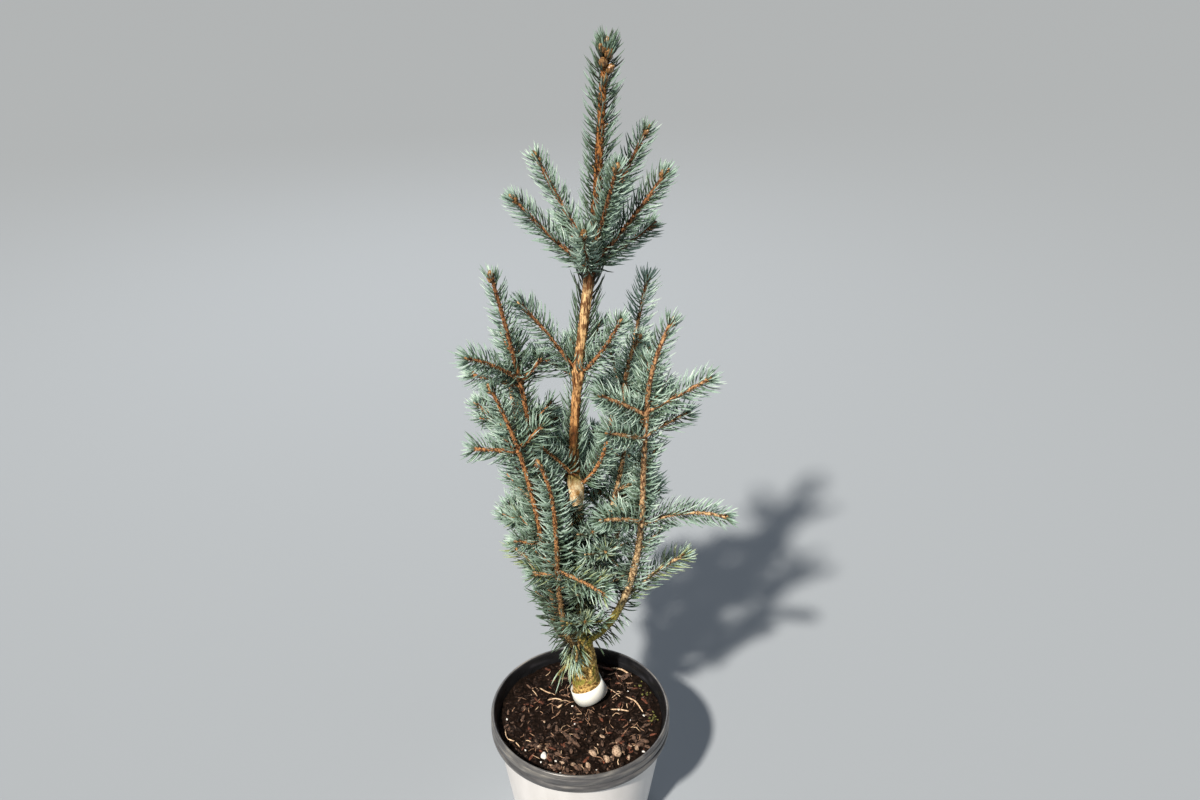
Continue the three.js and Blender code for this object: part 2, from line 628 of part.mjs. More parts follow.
// First every limb and twig claims its place, and then the needles fill what is left.
const masses = [];
const twigRadii = [TWIG_FOOT_RADIUS, TWIG_TIP_RADIUS];
for (const whorl of [TOP_WHORL, UPPER_WHORL, MIDDLE_WHORL, FRONT_SPRAYS]) {
  for (const [name, shoot] of Object.entries(whorl)) {
    const { axis, radius } = trunkAt(shoot.height);
    const path = route(axis, shoot);
    const stems = [{ path, radii: twigRadii, owner: name }];
    masses.push({ name, stems, bare: radius + TWIG_FOOT_RADIUS });
    takeRoute(path, 0, path.length, twigRadii, name);
  }
}
const boughStems = Object.entries(BOUGHS).map(([name, bough]) => {
  const path = route(trunkAt(bough.height).axis, bough);
  const enter = between([bough.radius, TWIG_TIP_RADIUS], bough.bare / bough.length);
  const foot = solidOf(limb(path, bough.bare, [bough.radius, enter])).subtract(trunkRoom);
  addMesh("bough_" + name, geometryOf(mainBody(foot)), COLOURS.bark);
  takeRoute(path, 0, bough.bare, [bough.radius, enter], "bough_" + name);
  const mass = "foliage_" + name;
  const radii = [enter, TWIG_TIP_RADIUS];
  const stem = { path, start: bough.bare + GAP, radii, sides: STEM_SIDES, owner: mass + "_stem" };
  takeRoute(path, stem.start, path.length, stem.radii, stem.owner);
  return { bough, mass, stem };
});
const shootRandom = seededRandom(SEED + 1);
for (const { bough, mass, stem } of boughStems) {
  const stems = [stem];
  nodeShoots(bough, shootRandom).forEach((shoot, i) => {
    const path = route(stem.path.pointAt(shoot.at), shoot);
    const owner = mass + "_" + i;
    if (!isRouteClear(path, mass)) return;
    stems.push({ path, radii: twigRadii, owner });
    takeRoute(path, TWIG_FOOT_RADIUS, path.length, twigRadii, owner);
  });
  masses.push({ name: mass, stems, bare: 0 });
}

const needleRandom = seededRandom(SEED + 3);
for (const { name, stems, bare } of masses) {
  const twigs = stems.map((stem) => needleTwig({ ...stem, bare, random: needleRandom }));
  const joined = twigs.reduce((whole, twig) => whole.add(twig));
  addMesh(name, geometryOf(mainBody(joined.subtract(trunkRoom))), COLOURS.needles);
}

// The leader is the trunk's own top, so its needles grow on a sheath round it.
function makeLeaderNeedles() {
  const length = TRUNK.at(-1).height + 1 - LEADER_START;
  const slope = (height) => trunkAt(height + STATION / 2).axis.sub(trunkAt(height - STATION / 2).axis);
  const path = {
    length,
    forwardAt: (run) => slope(LEADER_START + run).normalize(),
    pointAt: (run) => trunkAt(LEADER_START + run).axis,
  };
  const sheath = needleTwig({
    path,
    radii: (share) => trunkAt(LEADER_START + share * length).radius + SHEATH_WALL,
    sides: LEADER_SIDES,
    owner: "leader",
    within: "trunk",
    bare: 0,
    random: needleRandom,
  });
  addMesh("leader_needles", geometryOf(mainBody(sheath.subtract(trunkRoom))), COLOURS.needles);
}
makeLeaderNeedles();

export default group;
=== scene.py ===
# %% [markdown]
# # A young blue spruce in its nursery pot
#
# The imported solids say where each pot, limb and mass of foliage is. This scene grows the plant that a
# gardener would see there: bark with relief, nearly eighteen thousand needles, resinous buds, and compost
# full of bark and fibres. Sizes are in millimetres, as they would be measured on the real plant, and are
# turned into metres where a mesh or a pattern is made. Only lamps, the camera's range and the heights of the
# pot's painted light band are told in metres.

# %% Load the frame
import math
from types import SimpleNamespace

import bpy
import numpy as np
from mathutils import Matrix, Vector, noise


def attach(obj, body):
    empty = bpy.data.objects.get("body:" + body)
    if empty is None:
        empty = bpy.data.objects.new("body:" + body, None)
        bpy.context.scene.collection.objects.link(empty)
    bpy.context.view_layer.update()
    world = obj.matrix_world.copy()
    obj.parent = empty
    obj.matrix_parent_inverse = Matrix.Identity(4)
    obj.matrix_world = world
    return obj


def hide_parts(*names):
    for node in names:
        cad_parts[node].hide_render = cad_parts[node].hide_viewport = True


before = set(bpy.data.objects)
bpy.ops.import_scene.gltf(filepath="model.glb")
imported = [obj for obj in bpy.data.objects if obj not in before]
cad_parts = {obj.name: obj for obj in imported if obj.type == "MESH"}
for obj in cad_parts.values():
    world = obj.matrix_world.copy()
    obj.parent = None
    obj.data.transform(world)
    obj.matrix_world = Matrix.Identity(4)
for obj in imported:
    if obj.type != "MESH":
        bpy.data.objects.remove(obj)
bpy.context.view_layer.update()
BODY = "root"
MM = 0.001
SEED = 20261
print("solids in the frame:", len(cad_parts))

# %% [markdown]
# Every mesh here is worked out with arrays. One function turns corners and triangles into a piece, and says
# what carries it and which solids it stands for. Many small shapes of one kind are collected first and
# joined, because thousands of separate objects would be slow.

# %% Make pieces from arrays


def add_piece(name, shapes, materials, slot, replaced=(), smooth=True):
    """Makes one mesh piece from joined shapes, each (corners in mm, triangles, which material)."""
    corners = np.concatenate([shape[0] for shape in shapes])
    starts = np.cumsum([0] + [len(shape[0]) for shape in shapes[:-1]])
    faces = np.concatenate([shape[1] + start for shape, start in zip(shapes, starts)])
    shades = np.concatenate([np.broadcast_to(shape[2], len(shape[1])) for shape in shapes])
    mesh = bpy.data.meshes.new(name)
    mesh.vertices.add(len(corners))
    mesh.vertices.foreach_set("co", (corners * MM).astype(np.float32).ravel())
    mesh.loops.add(faces.size)
    mesh.loops.foreach_set("vertex_index", faces.astype(np.int32).ravel())
    mesh.polygons.add(len(faces))
    mesh.polygons.foreach_set("loop_start", np.arange(0, faces.size, 3, dtype=np.int32))
    mesh.polygons.foreach_set("material_index", shades.astype(np.int32))
    mesh.polygons.foreach_set("use_smooth", np.full(len(faces), smooth))
    for material in materials:
        mesh.materials.append(material)
    mesh.update(calc_edges=True)
    piece = bpy.data.objects.new(name, mesh)
    bpy.context.scene.collection.objects.link(piece)
    if slot:
        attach(piece, BODY)
    if replaced:
        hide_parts(*replaced)
    print(f"{name}: {len(faces)} triangles")
    return piece


print("a piece of 1000 mm is", 1000 * MM, "m in the scene")

# %% [markdown]
# Most of a plant and all of a pot is round: a tube that follows a line, or a profile turned about an axis.
# Curve objects with a bevel, and the screw modifier, could make them one by one. Here each shape is rings
# of corners with triangles between them, so that one function numbers the triangles for all, and thousands
# are made at once.

# %% Round shapes
RIGHT, AWAY = np.array([[1.0, 0, 0]]), np.array([[0, 1.0, 0]])


def bearings(sides):
    """Equal steps round a circle, in radians."""
    return 2 * np.pi * np.arange(sides) / sides


def grid_faces(rings, sides):
    """Triangles between closed rings of corners, and round the two end corners that come after them."""
    side = np.arange(sides)
    after = (side + 1) % sides
    first = np.arange(rings - 1)[:, None] * sides
    a, b = (first + side).ravel(), (first + after).ravel()
    last = (rings - 1) * sides
    foot, tip = np.full(sides, rings * sides), np.full(sides, rings * sides + 1)
    return np.concatenate([
        np.stack([a, b, b + sides], axis=1),
        np.stack([a, b + sides, a + sides], axis=1),
        np.stack([foot, after, side], axis=1),
        np.stack([tip, last + side, last + after], axis=1),
    ])


def tube(centres, across, up, radii, sides):
    """Corners and triangles of a closed tube. Radii are for each ring, or for each corner of each ring.

    Across and up are the rings' side directions, one for each ring or one for all."""
    angle = bearings(sides)
    reach = np.broadcast_to(np.reshape(radii, (len(centres), -1)), (len(centres), sides))[:, :, None]
    spokes = np.cos(angle)[:, None] * across[:, None, :] + np.sin(angle)[:, None] * up[:, None, :]
    ring = centres[:, None, :] + reach * spokes
    corners = np.concatenate([ring.reshape(-1, 3), centres[:1], centres[-1:]])
    return corners, grid_faces(len(centres), sides)


def lathe(profile, sides):
    """A round piece about the upright axis, from a profile of (radius, height), both ends on the axis."""
    radii, heights = np.array(profile, float).T
    centres = np.stack([0 * heights, 0 * heights, heights], axis=1)[1:-1]
    corners, faces = tube(centres, RIGHT, AWAY, radii[1:-1], sides)
    corners[-2:, 2] = heights[[0, -1]]
    return corners, faces


def unit(vectors):
    """The same directions, each one long."""
    return vectors / np.linalg.norm(vectors, axis=-1, keepdims=True)


print("a closed tube of 2 rings and 6 sides has", len(grid_faces(2, 6)), "triangles")

# %% [markdown]
# Colours are written as sRGB hex values, as a colour card would give them, and shaders work in linear
# light, so one function converts them. Another adds a shader node with its settings and links, so that a
# material reads as a list of what it is made of.

# %% Make materials from nodes


def linear(hex_colour):
    """An sRGB hex colour as the linear colour that a shader's socket takes."""
    shares = [int(hex_colour[i:i + 2], 16) / 255 for i in (1, 3, 5)]
    return [s / 12.92 if s <= 0.04045 else ((s + 0.055) / 1.055) ** 2.4 for s in shares] + [1.0]


def add_node(tree, kind, settings, links=None):
    """Adds a shader node. Settings are its own properties, its sockets' values, or a ramp's stops."""
    node = tree.nodes.new(kind)
    for key, value in settings.items():
        if key == "stops":
            elements = node.color_ramp.elements
            for _ in value[2:]:
                elements.new(1.0)
            for element, (position, colour) in zip(elements, value):
                element.position = position
                element.color = linear(colour)
        elif isinstance(key, str) and hasattr(node, key):
            setattr(node, key, value)
        else:
            node.inputs[key].default_value = value
    for key, source in (links or {}).items():
        tree.links.new(source, node.inputs[key])
    return node


def new_material(name, settings):
    """A material with one Principled shader, set as given, with its node tree and its shader."""
    material = bpy.data.materials.new(name)
    material.use_nodes = True
    shader = material.node_tree.nodes["Principled BSDF"]
    for key, value in settings.items():
        shader.inputs[key].default_value = value
    return material, material.node_tree, shader


print("sRGB #808080 is", round(linear("#808080")[0], 3), "in linear light")

# %% [markdown]
# Crumbly and grained things share one recipe. A photograph of the surface could be wrapped round each, but
# it would have seams and one size. Here a noise that fills space tints the surface, and lifts it too. Its
# pattern is told by its real size, and the texture's scale is worked out from that.

# %% A recipe for grained surfaces


def per_metre(size):
    """How often a pattern of this size in millimetres fits in a metre."""
    return 1 / (size * MM)


def grained_material(name, settings, grain, detail, stops=None, relief=None):
    """A material with a noise of this grain, in mm, that tints it by a ramp's stops and lifts it.

    Detail holds the noise's other settings. Relief is (strength, height in mm)."""
    material, tree, shader = new_material(name, settings)
    place = add_node(tree, "ShaderNodeTexCoord", {})
    grains = add_node(tree, "ShaderNodeTexNoise", {"Scale": per_metre(grain), **detail},
                      {"Vector": place.outputs["Object"]})
    if stops:
        tone = add_node(tree, "ShaderNodeValToRGB", {"stops": stops}, {"Fac": grains.outputs[0]})
        tree.links.new(tone.outputs[0], shader.inputs["Base Color"])
    if relief:
        lift = add_node(tree, "ShaderNodeBump", {"Strength": relief[0], "Distance": relief[1] * MM},
                        {"Height": grains.outputs[0]})
        tree.links.new(lift.outputs[0], shader.inputs["Normal"])
    return material


print("a grain of 2 mm fits", round(per_metre(2)), "times in a metre")

# %% [markdown]
# The camera stands where the photograph was taken from: 1.2 m from the pot, and looking down at it by 28
# degrees. A lens of 30 mm on a 36 mm wide sensor gives the photograph's field of view.

# %% Camera
EYE = (21, -792, 937)
LOOK_DOWN = 27.8
LENS = 30
SENSOR = 36
# How near and how far it sees, in metres
NEAREST, FARTHEST = 0.05, 60

camera_data = bpy.data.cameras.new("camera")
camera_data.lens = LENS
camera_data.sensor_width = SENSOR
camera_data.clip_start = NEAREST
camera_data.clip_end = FARTHEST
camera = bpy.data.objects.new("camera", camera_data)
camera.location = Vector(EYE) * MM
camera.rotation_euler = (math.radians(90 - LOOK_DOWN), 0, 0)
bpy.context.scene.collection.objects.link(camera)
bpy.context.scene.camera = camera
print("camera at", tuple(round(x, 3) for x in camera.location))

# %% [markdown]
# The photograph was lit by the sun, from the front left and above. A very large, distant lamp stands for it
# here, made wide enough to be soft: it gives every needle a light side and a dark one, and lights the floor
# evenly to its far edge. A panel on the right and one behind open up the shadows, and a pale room does the
# rest.

# %% Light
SUN_FROM = (-0.5, -0.92, 1.1)
SUN_WIDTH = 3.2
SUN_POWER = 5.35
SUN_COLOUR = "#fff6ea"
ROOM_COLOUR = "#dbe6f2"
ROOM_POWER = 0.15
# Places and sizes are in metres, and powers in watts.
PANELS = {
    "fill": {"place": (1.9, -1.2, 1.3), "size": 1.6, "power": 2.5, "colour": "#eef4ff"},
    "back": {"place": (-0.5, 1.9, 1.9), "size": 1.2, "power": 16, "colour": "#f4f8ff"},
}
AIM = Vector((0, 0.02, 0.42))


def add_lamp(name, kind, place, settings):
    """A lamp that looks at the middle of the plant."""
    lamp_data = bpy.data.lights.new(name, kind)
    for key, value in settings.items():
        setattr(lamp_data, key, value)
    lamp = bpy.data.objects.new(name, lamp_data)
    lamp.location = place
    lamp.rotation_euler = (AIM - lamp.location).to_track_quat("-Z", "Y").to_euler()
    bpy.context.scene.collection.objects.link(lamp)


add_lamp("sun", "SUN", AIM + Vector(SUN_FROM) * 2, {
    "angle": math.radians(SUN_WIDTH), "energy": SUN_POWER, "color": linear(SUN_COLOUR)[:3],
})
for name, panel in PANELS.items():
    add_lamp(name, "AREA", panel["place"], {
        "size": panel["size"], "energy": panel["power"], "color": linear(panel["colour"])[:3],
    })

world = bpy.data.worlds.new("pale_room")
world.use_nodes = True
room = world.node_tree.nodes["Background"]
room.inputs["Color"].default_value = linear(ROOM_COLOUR)
room.inputs["Strength"].default_value = ROOM_POWER
bpy.context.scene.world = world
bpy.context.scene.view_settings.view_transform = "Standard"
print("lamps: sun,", ", ".join(PANELS))

# %% [markdown]
# The floor is a plain pale sheet, large enough to fill the view to its far edge. It could be a plane from
# the menu, and is two triangles here, made as the pieces are. Matt paint scatters light evenly, so the eye
# sees one soft tone that carries only the plant's own shadow. A rolled coat is a little wavy.

# %% Floor
FLOOR_REACH = 14000
FLOOR_SUNK = 0.1
PAINT_WAVE = 31

floor_paint = grained_material(
    "matt_painted_board", {"Base Color": linear("#9da4ab"), "Roughness": 0.85, "Specular IOR Level": 0.2},
    PAINT_WAVE, {"Detail": 2.0}, relief=(0.08, 0.4),
)
reach = np.array([[-1, -1, 0], [1, -1, 0], [1, 1, 0], [-1, 1, 0]], float) * FLOOR_REACH - [0, 0, FLOOR_SUNK]
floor = add_piece("floor", [(reach, np.array([[0, 1, 2], [0, 2, 3]]), 0)], [floor_paint], None)

# %% [markdown]
# Two pots stand one in the other, the grower's charcoal one in a white cover pot. Both are round, so each
# is a profile turned on a lathe. A bevel modifier could round their edges. Here the profile's corners are
# cut a few times, which rounds them the way that a mould's radius does, without moving the flat underside.

# %% Pot sizes, the same as those of the solids
RIM_RADIUS = 95.5
POT_HEIGHT = 150
COLLAR_HEIGHT = 23
LIP_WIDTH = 5
NURSERY_FOOT_RADIUS = 69.5
NURSERY_NECK_RADIUS = 87
NURSERY_WALL = 1.8
OUTER_WALL = 2.2
OUTER_FLOOR = 5.7
GAP = 0.3
COMPOST_TOP = 135
POT_SIDES = 192
MOULD_RADIUS = 1.2
ROUNDINGS = 3
collar_foot = POT_HEIGHT - COLLAR_HEIGHT
lip = RIM_RADIUS - LIP_WIDTH


def soften(profile):
    """The profile with its corners cut, again and again. Its two ends stay where they are."""
    points = np.array(profile, float)
    for _ in range(ROUNDINGS):
        step = np.diff(points, axis=0)
        reach_in = np.minimum(0.25, MOULD_RADIUS / np.linalg.norm(step, axis=1))[:, None]
        cut = np.stack([points[:-1] + step * reach_in, points[1:] - step * reach_in], axis=1).reshape(-1, 2)
        points = np.concatenate([points[:1], cut[1:-1], points[-1:]])
    return points


def nursery_radius(height):
    """Radius of the nursery pot's outer wall, under its collar."""
    return np.interp(height, [OUTER_FLOOR + GAP, collar_foot], [NURSERY_FOOT_RADIUS, NURSERY_NECK_RADIUS])


print("nursery pot:", 2 * RIM_RADIUS, "mm across and", POT_HEIGHT, "mm tall")

# %% [markdown]
# The grower's pot is charcoal polypropylene, recycled, moulded thin and trimmed, with a satin skin. Satin
# plastic gives the eye a broad soft highlight. Outside it is dusty and rubbed, and paler, with streaks that
# run round it: the paler tones and streaks are partly dust and partly painted reflections. The collar's
# upper band is painted lighter still, a painted highlight. Inside it is clean and damp, so nearly black.
# Both skins are one recipe with different tones, so one loop makes them.

# %% Skins of the nursery pot: charcoal polypropylene, moulded with a satin skin
POT_SKINS = {
    "polypropylene_charcoal_dusty": [
        (0.3, "#434446"), (0.5, "#535355"), (0.66, "#6c6b69"), (0.78, "#8f8c87"),
    ],
    "polypropylene_charcoal_clean": [(0.3, "#141517"), (0.55, "#1d1e21"), (0.8, "#34343a")],
}
# Streaks that tint the outer skin: partly dust, partly painted reflections that run round the collar.
DUST_AND_REFLECTION_STREAK = (24, 4.5)
# Between these heights, in metres, the skin is painted paler: a painted highlight on the collar's top band.
UPPER_BAND_PAINTED_LIGHT = {"From Min": 0.134, "From Max": 0.143, "To Min": -0.02, "To Max": 0.06}
SATIN = {"To Min": 0.2, "To Max": 0.4}
# A mould's texture is ten times finer than this, and wouldn't show.
MOULD_GRAIN = 1.43

pot_skins = []
for name, tones in POT_SKINS.items():
    charcoal, tree, shader = new_material(name, {"IOR": 1.49, "Specular IOR Level": 0.6})
    place = add_node(tree, "ShaderNodeTexCoord", {})
    wide, tall = (per_metre(size) for size in DUST_AND_REFLECTION_STREAK)
    stretch = add_node(tree, "ShaderNodeMapping", {"Scale": (wide, wide, tall)},
                       {"Vector": place.outputs["Object"]})
    cloud = add_node(tree, "ShaderNodeTexNoise", {"Scale": 1.0, "Detail": 3.0},
                     {"Vector": stretch.outputs[0]})
    parts = add_node(tree, "ShaderNodeSeparateXYZ", {}, {0: place.outputs["Object"]})
    # The skin's upper band is painted lighter: a painted highlight.
    upper_painted_light = add_node(tree, "ShaderNodeMapRange", UPPER_BAND_PAINTED_LIGHT, {0: parts.outputs["Z"]})
    amount = add_node(tree, "ShaderNodeMath", {"operation": "ADD"},
                      {0: cloud.outputs[0], 1: upper_painted_light.outputs[0]})
    # Dust and painted reflections tint the skin.
    dust_and_reflection = add_node(tree, "ShaderNodeValToRGB", {"stops": tones}, {"Fac": amount.outputs[0]})
    tree.links.new(dust_and_reflection.outputs[0], shader.inputs["Base Color"])
    gloss = add_node(tree, "ShaderNodeMapRange", SATIN, {"Value": cloud.outputs[0]})
    tree.links.new(gloss.outputs[0], shader.inputs["Roughness"])
    grains = add_node(tree, "ShaderNodeTexNoise", {"Scale": per_metre(MOULD_GRAIN), "Detail": 2.0},
                      {"Vector": place.outputs["Object"]})
    dimple = add_node(tree, "ShaderNodeBump", {"Strength": 0.15, "Distance": 0.2 * MM},
                      {"Height": grains.outputs[0]})
    tree.links.new(dimple.outputs[0], shader.inputs["Normal"])
    pot_skins.append(charcoal)
print("skins of the nursery pot:", len(pot_skins))

# %% [markdown]
# The collar is rolled over, which makes it stiffer than the thin wall, and two shallow grooves run round it
# where it was formed. The profile goes from the underside up the outer wall, over the lip and down inside.
# The crest of the lip divides the dusty skin, with its painted reflections, from the clean one.

# %% Nursery pot
COLLAR_GROOVE = 1.8
CREST_BAND = 0.3

nursery_profile = soften([
    (0, OUTER_FLOOR + GAP),
    (NURSERY_FOOT_RADIUS, OUTER_FLOOR + GAP),
    (NURSERY_NECK_RADIUS, collar_foot),
    (RIM_RADIUS - 1, collar_foot),
    (RIM_RADIUS, collar_foot + 3),
    (RIM_RADIUS, collar_foot + 6),
    (RIM_RADIUS - COLLAR_GROOVE, collar_foot + 8),
    (RIM_RADIUS - COLLAR_GROOVE, collar_foot + 9),
    (RIM_RADIUS - 0.1, collar_foot + 11),
    (RIM_RADIUS - 0.3, collar_foot + 16),
    (RIM_RADIUS - COLLAR_GROOVE, collar_foot + 17.5),
    (RIM_RADIUS - 0.2, collar_foot + 19),
    (RIM_RADIUS - 1, POT_HEIGHT - 1),
    (RIM_RADIUS - LIP_WIDTH / 2, POT_HEIGHT),
    (lip + 0.6, POT_HEIGHT - 1.2),
    (lip, POT_HEIGHT - 4),
    (NURSERY_NECK_RADIUS - NURSERY_WALL, collar_foot),
    (NURSERY_FOOT_RADIUS - NURSERY_WALL, OUTER_FLOOR + GAP + NURSERY_WALL),
    (0, OUTER_FLOOR + GAP + NURSERY_WALL),
])
corners, faces = lathe(nursery_profile, POT_SIDES)
crest = np.flatnonzero(corners[:-2, 2] > corners[:, 2].max() - CREST_BAND).max()
after_crest = np.arange(len(corners)) > crest
is_inside = after_crest[faces].all(axis=1).astype(int)
add_piece("nursery_pot_skin", [(corners, faces, is_inside)], pot_skins, "nursery_pot", ["nursery_pot"])

# %% [markdown]
# The cover pot is white polypropylene, injection moulded and polished by its mould. It gives the eye an
# even, faintly warm white with a soft gloss. Plastic that flows up a mould leaves tall cloudy marks, which
# are only a shade different, and a little glossier or duller than the rest.

# %% Cover pot: white polypropylene, injection moulded
FLOW_MARK = (33.3, 167)

white_moulded, tree, shader = new_material("polypropylene_white_moulded", {
    "Base Color": linear("#dfdede"), "Roughness": 0.36, "IOR": 1.49,
})
place = add_node(tree, "ShaderNodeTexCoord", {})
wide, tall = (per_metre(size) for size in FLOW_MARK)
stretch = add_node(tree, "ShaderNodeMapping", {"Scale": (wide, wide, tall)},
                   {"Vector": place.outputs["Object"]})
flow = add_node(tree, "ShaderNodeTexNoise", {"Scale": 1.0, "Detail": 3.0}, {"Vector": stretch.outputs[0]})
tint = add_node(tree, "ShaderNodeValToRGB", {"stops": [(0.35, "#d3d2d1"), (0.6, "#e2e1e1")]},
                {"Fac": flow.outputs[0]})
tree.links.new(tint.outputs[0], shader.inputs["Base Color"])
gloss = add_node(tree, "ShaderNodeMapRange", {"To Min": 0.3, "To Max": 0.45}, {"Value": flow.outputs[0]})
tree.links.new(gloss.outputs[0], shader.inputs["Roughness"])

cover_top = collar_foot - GAP
cover_in = {height: float(nursery_radius(height)) + GAP for height in (0, OUTER_FLOOR, cover_top)}
cover_profile = soften([
    (0, 0),
    (cover_in[0] + OUTER_WALL - 2, 0),
    (cover_in[0] + OUTER_WALL, 2),
    (cover_in[cover_top] + OUTER_WALL, cover_top),
    (cover_in[cover_top], cover_top),
    (cover_in[OUTER_FLOOR], OUTER_FLOOR),
    (0, OUTER_FLOOR),
])
cover = (*lathe(cover_profile, POT_SIDES), 0)
add_piece("outer_pot_skin", [cover], [white_moulded], "outer_pot", ["outer_pot"])

# %% [markdown]
# The plant is drawn as lines first, and skinned later. The trunk's line is a short table, read from the
# ground up: it flares at its foot, leans to the left and comes back, and swells at two nodes. Blender's
# curves could hold it. A table that is interpolated gives any height's place and radius, which everything
# that grows from it asks for.

# %% The trunk's line: height, place and radius
TRUNK = np.array([
    (COMPOST_TOP + GAP, 8.4, 30, 15.4),
    (148, 7, 30, 14.8),
    (166, 5, 30, 14.6),
    (187, 3, 30, 14.4),
    (203, 1, 30, 13.2),
    (222, 0, 29, 10.6),
    (250, -1, 28, 8.6),
    (300, -2, 27, 7.2),
    (392, -2, 25, 6.0),
    (406, -2, 24, 7.6),
    (418, -3, 24, 7.2),
    (432, -3, 24, 4.8),
    (465, -4, 23, 4.0),
    (520, 0, 21, 4.0),
    (535, 1, 20, 4.8),
    (548, 2, 20, 4.0),
    (623, 11, 17, 4.4),
    (642, 13, 16, 4.8),
    (662, 15, 15, 3.7),
    (711, 19, 14, 3.4),
    (787, 23, 12, 2.8),
    (820, 26, 11, 2.0),
])
LEADER_START = 679


def trunk_at(height):
    """The trunk's axis and radius at any heights."""
    x, y, radius = (np.interp(height, TRUNK[:, 0], TRUNK[:, column]) for column in (1, 2, 3))
    return np.stack([x, y, height + 0 * x], axis=-1), radius


print("trunk:", TRUNK[-1, 0] - TRUNK[0, 0], "mm tall and", 2 * TRUNK[0, 3], "mm thick at its foot")

# %% [markdown]
# A shoot leaves its parent and turns and climbs evenly between a few headings, so a handful of angles gives
# its whole sweep. A turn is a bearing in degrees, where 0 is right, 90 is away from the camera and 270
# towards it, and a rise is degrees above level. Needles and rings of bark need side directions that don't
# spin, so a path carries one along from point to point and keeps it square to the heading.

# %% Paths: points a millimetre apart, with a heading and two side directions at each
FIRST_SIDE = np.array([0.3, 0.9, -0.2])


class Path:
    """A line through points, with a heading, two side directions and a radius at each of them."""

    def __init__(self, points, radii):
        self.points = np.asarray(points, float)
        steps = np.diff(self.points, axis=0)
        self.run = np.concatenate([[0], np.cumsum(np.linalg.norm(steps, axis=1))])
        self.length = self.run[-1]
        self.forward = unit(np.concatenate([steps, steps[-1:]]))
        self.radii = np.interp(self.run / self.length, np.linspace(0, 1, len(radii)), radii)
        self.across = np.zeros_like(self.forward)
        side = FIRST_SIDE
        for i, heading in enumerate(self.forward):
            side = unit(side - heading * (side @ heading))
            self.across[i] = side
        self.up = np.cross(self.forward, self.across)

    def at(self, run):
        """Places, headings, side directions and radii at these distances along the path."""
        place = np.clip(np.interp(run, self.run, np.arange(len(self.run))), 0, len(self.run) - 1.001)
        index = place.astype(int)
        share = (place - index)[:, None]
        centre = self.points[index] * (1 - share) + self.points[index + 1] * share
        return centre, self.forward[index], self.across[index], self.up[index], self.radii[index]


def route(foot, turns, rises, length):
    """Points from foot, turning and climbing evenly between the headings."""
    steps = math.floor(length + 0.5)
    share = (np.arange(steps) + 0.5) / steps
    spots = np.linspace(0, 1, len(turns)), np.linspace(0, 1, len(rises))
    turn = np.radians(np.interp(share, spots[0], turns))
    rise = np.radians(np.interp(share, spots[1], rises))
    forward = np.stack([np.cos(rise) * np.cos(turn), np.cos(rise) * np.sin(turn), np.sin(rise)], axis=1)
    return foot + np.concatenate([np.zeros((1, 3)), np.cumsum(forward * (length / steps), axis=0)])


print("a shoot of 90 mm is a path of", len(route(np.zeros(3), [0, 20], [40, 50], 90)), "points")

# %% [markdown]
# A spruce makes a whorl of shoots at the end of each summer, so their heights tell the plant's age. The
# whorls and the small sprays at the front are listed from the top down. The numbers are the solids' own, so
# that each shoot grows out of the limb that carries it, and stays in the space of its mass.

# %% Shoots that spring straight from the trunk: height, turns, rises, length
TOP_WHORL = {
    "top_shoot_left_low": (638, [189, 184], [40, 50], 89),
    "top_shoot_left_high": (650, [142, 147], [49, 56], 95),
    "top_shoot_front": (633, [264, 268], [42, 48], 76),
    "top_shoot_front_right": (648, [292, 302], [58, 67], 98),
    "top_shoot_right_high": (659, [36, 28], [61, 58], 104),
    "top_shoot_right_low": (639, [338, 344], [50, 57], 107),
    "top_shoot_back_right": (637, [24, 27], [26, 30], 67),
    "top_shoot_back_left": (641, [124, 124], [30, 34], 57),
    "top_shoot_back": (649, [60, 57], [43, 47], 76),
}
UPPER_WHORL = {
    "upper_shoot_left": (535, [184, 190], [60, 50], 87),
    "upper_shoot_right": (532, [333, 330], [48, 64], 77),
    "upper_shoot_back_right": (538, [60, 60], [38, 43], 51),
    "upper_shoot_back_left": (533, [153, 153], [14, 20], 47),
    "upper_shoot_back": (530, [100, 105], [35, 55], 38),
}
MIDDLE_WHORL = {
    "middle_shoot_left": (422, [226, 222], [56, 46], 65),
    "middle_shoot_right": (412, [332, 350, 360], [39, 74, 86], 104),
    "middle_shoot_back_left": (418, [145, 150], [18, 22], 45),
    "middle_shoot_back": (424, [92, 96], [30, 42], 58),
    "middle_shoot_back_right": (416, [45, 38], [30, 48], 56),
}
FRONT_SPRAYS = {
    "front_spray_knot": (384, [250, 262], [30, 46], 40),
    "front_spray_top": (352, [306, 276], [34, 42], 58),
    "front_spray_side": (330, [236, 252], [36, 52], 60),
    "front_spray_high": (322, [330, 268], [42, 34], 80),
    "front_spray_middle": (292, [262, 272], [44, 40], 60),
    "front_spray_bud": (268, [312, 276], [52, 50], 92),
    "front_spray_low": (238, [284, 272], [40, 44], 66),
    "foot_spray_front": (224, [266, 262], [4, -30], 36),
    "foot_spray_left": (193, [206, 216], [0, -48], 34),
}
WHORLS = {"top": [TOP_WHORL], "middle": [UPPER_WHORL, MIDDLE_WHORL], "front": [FRONT_SPRAYS]}
for group, whorls in WHORLS.items():
    print(group, "shoots:", sum(len(whorl) for whorl in whorls))

# %% [markdown]
# A bough is a limb several years old. It leaves the trunk low down, turns up to the light, and carries side
# shoots in a fan at each of its own nodes. It has lost its needles along the first stretch, which is bare.
# Those in view have each side shoot listed, because the photograph shows it.

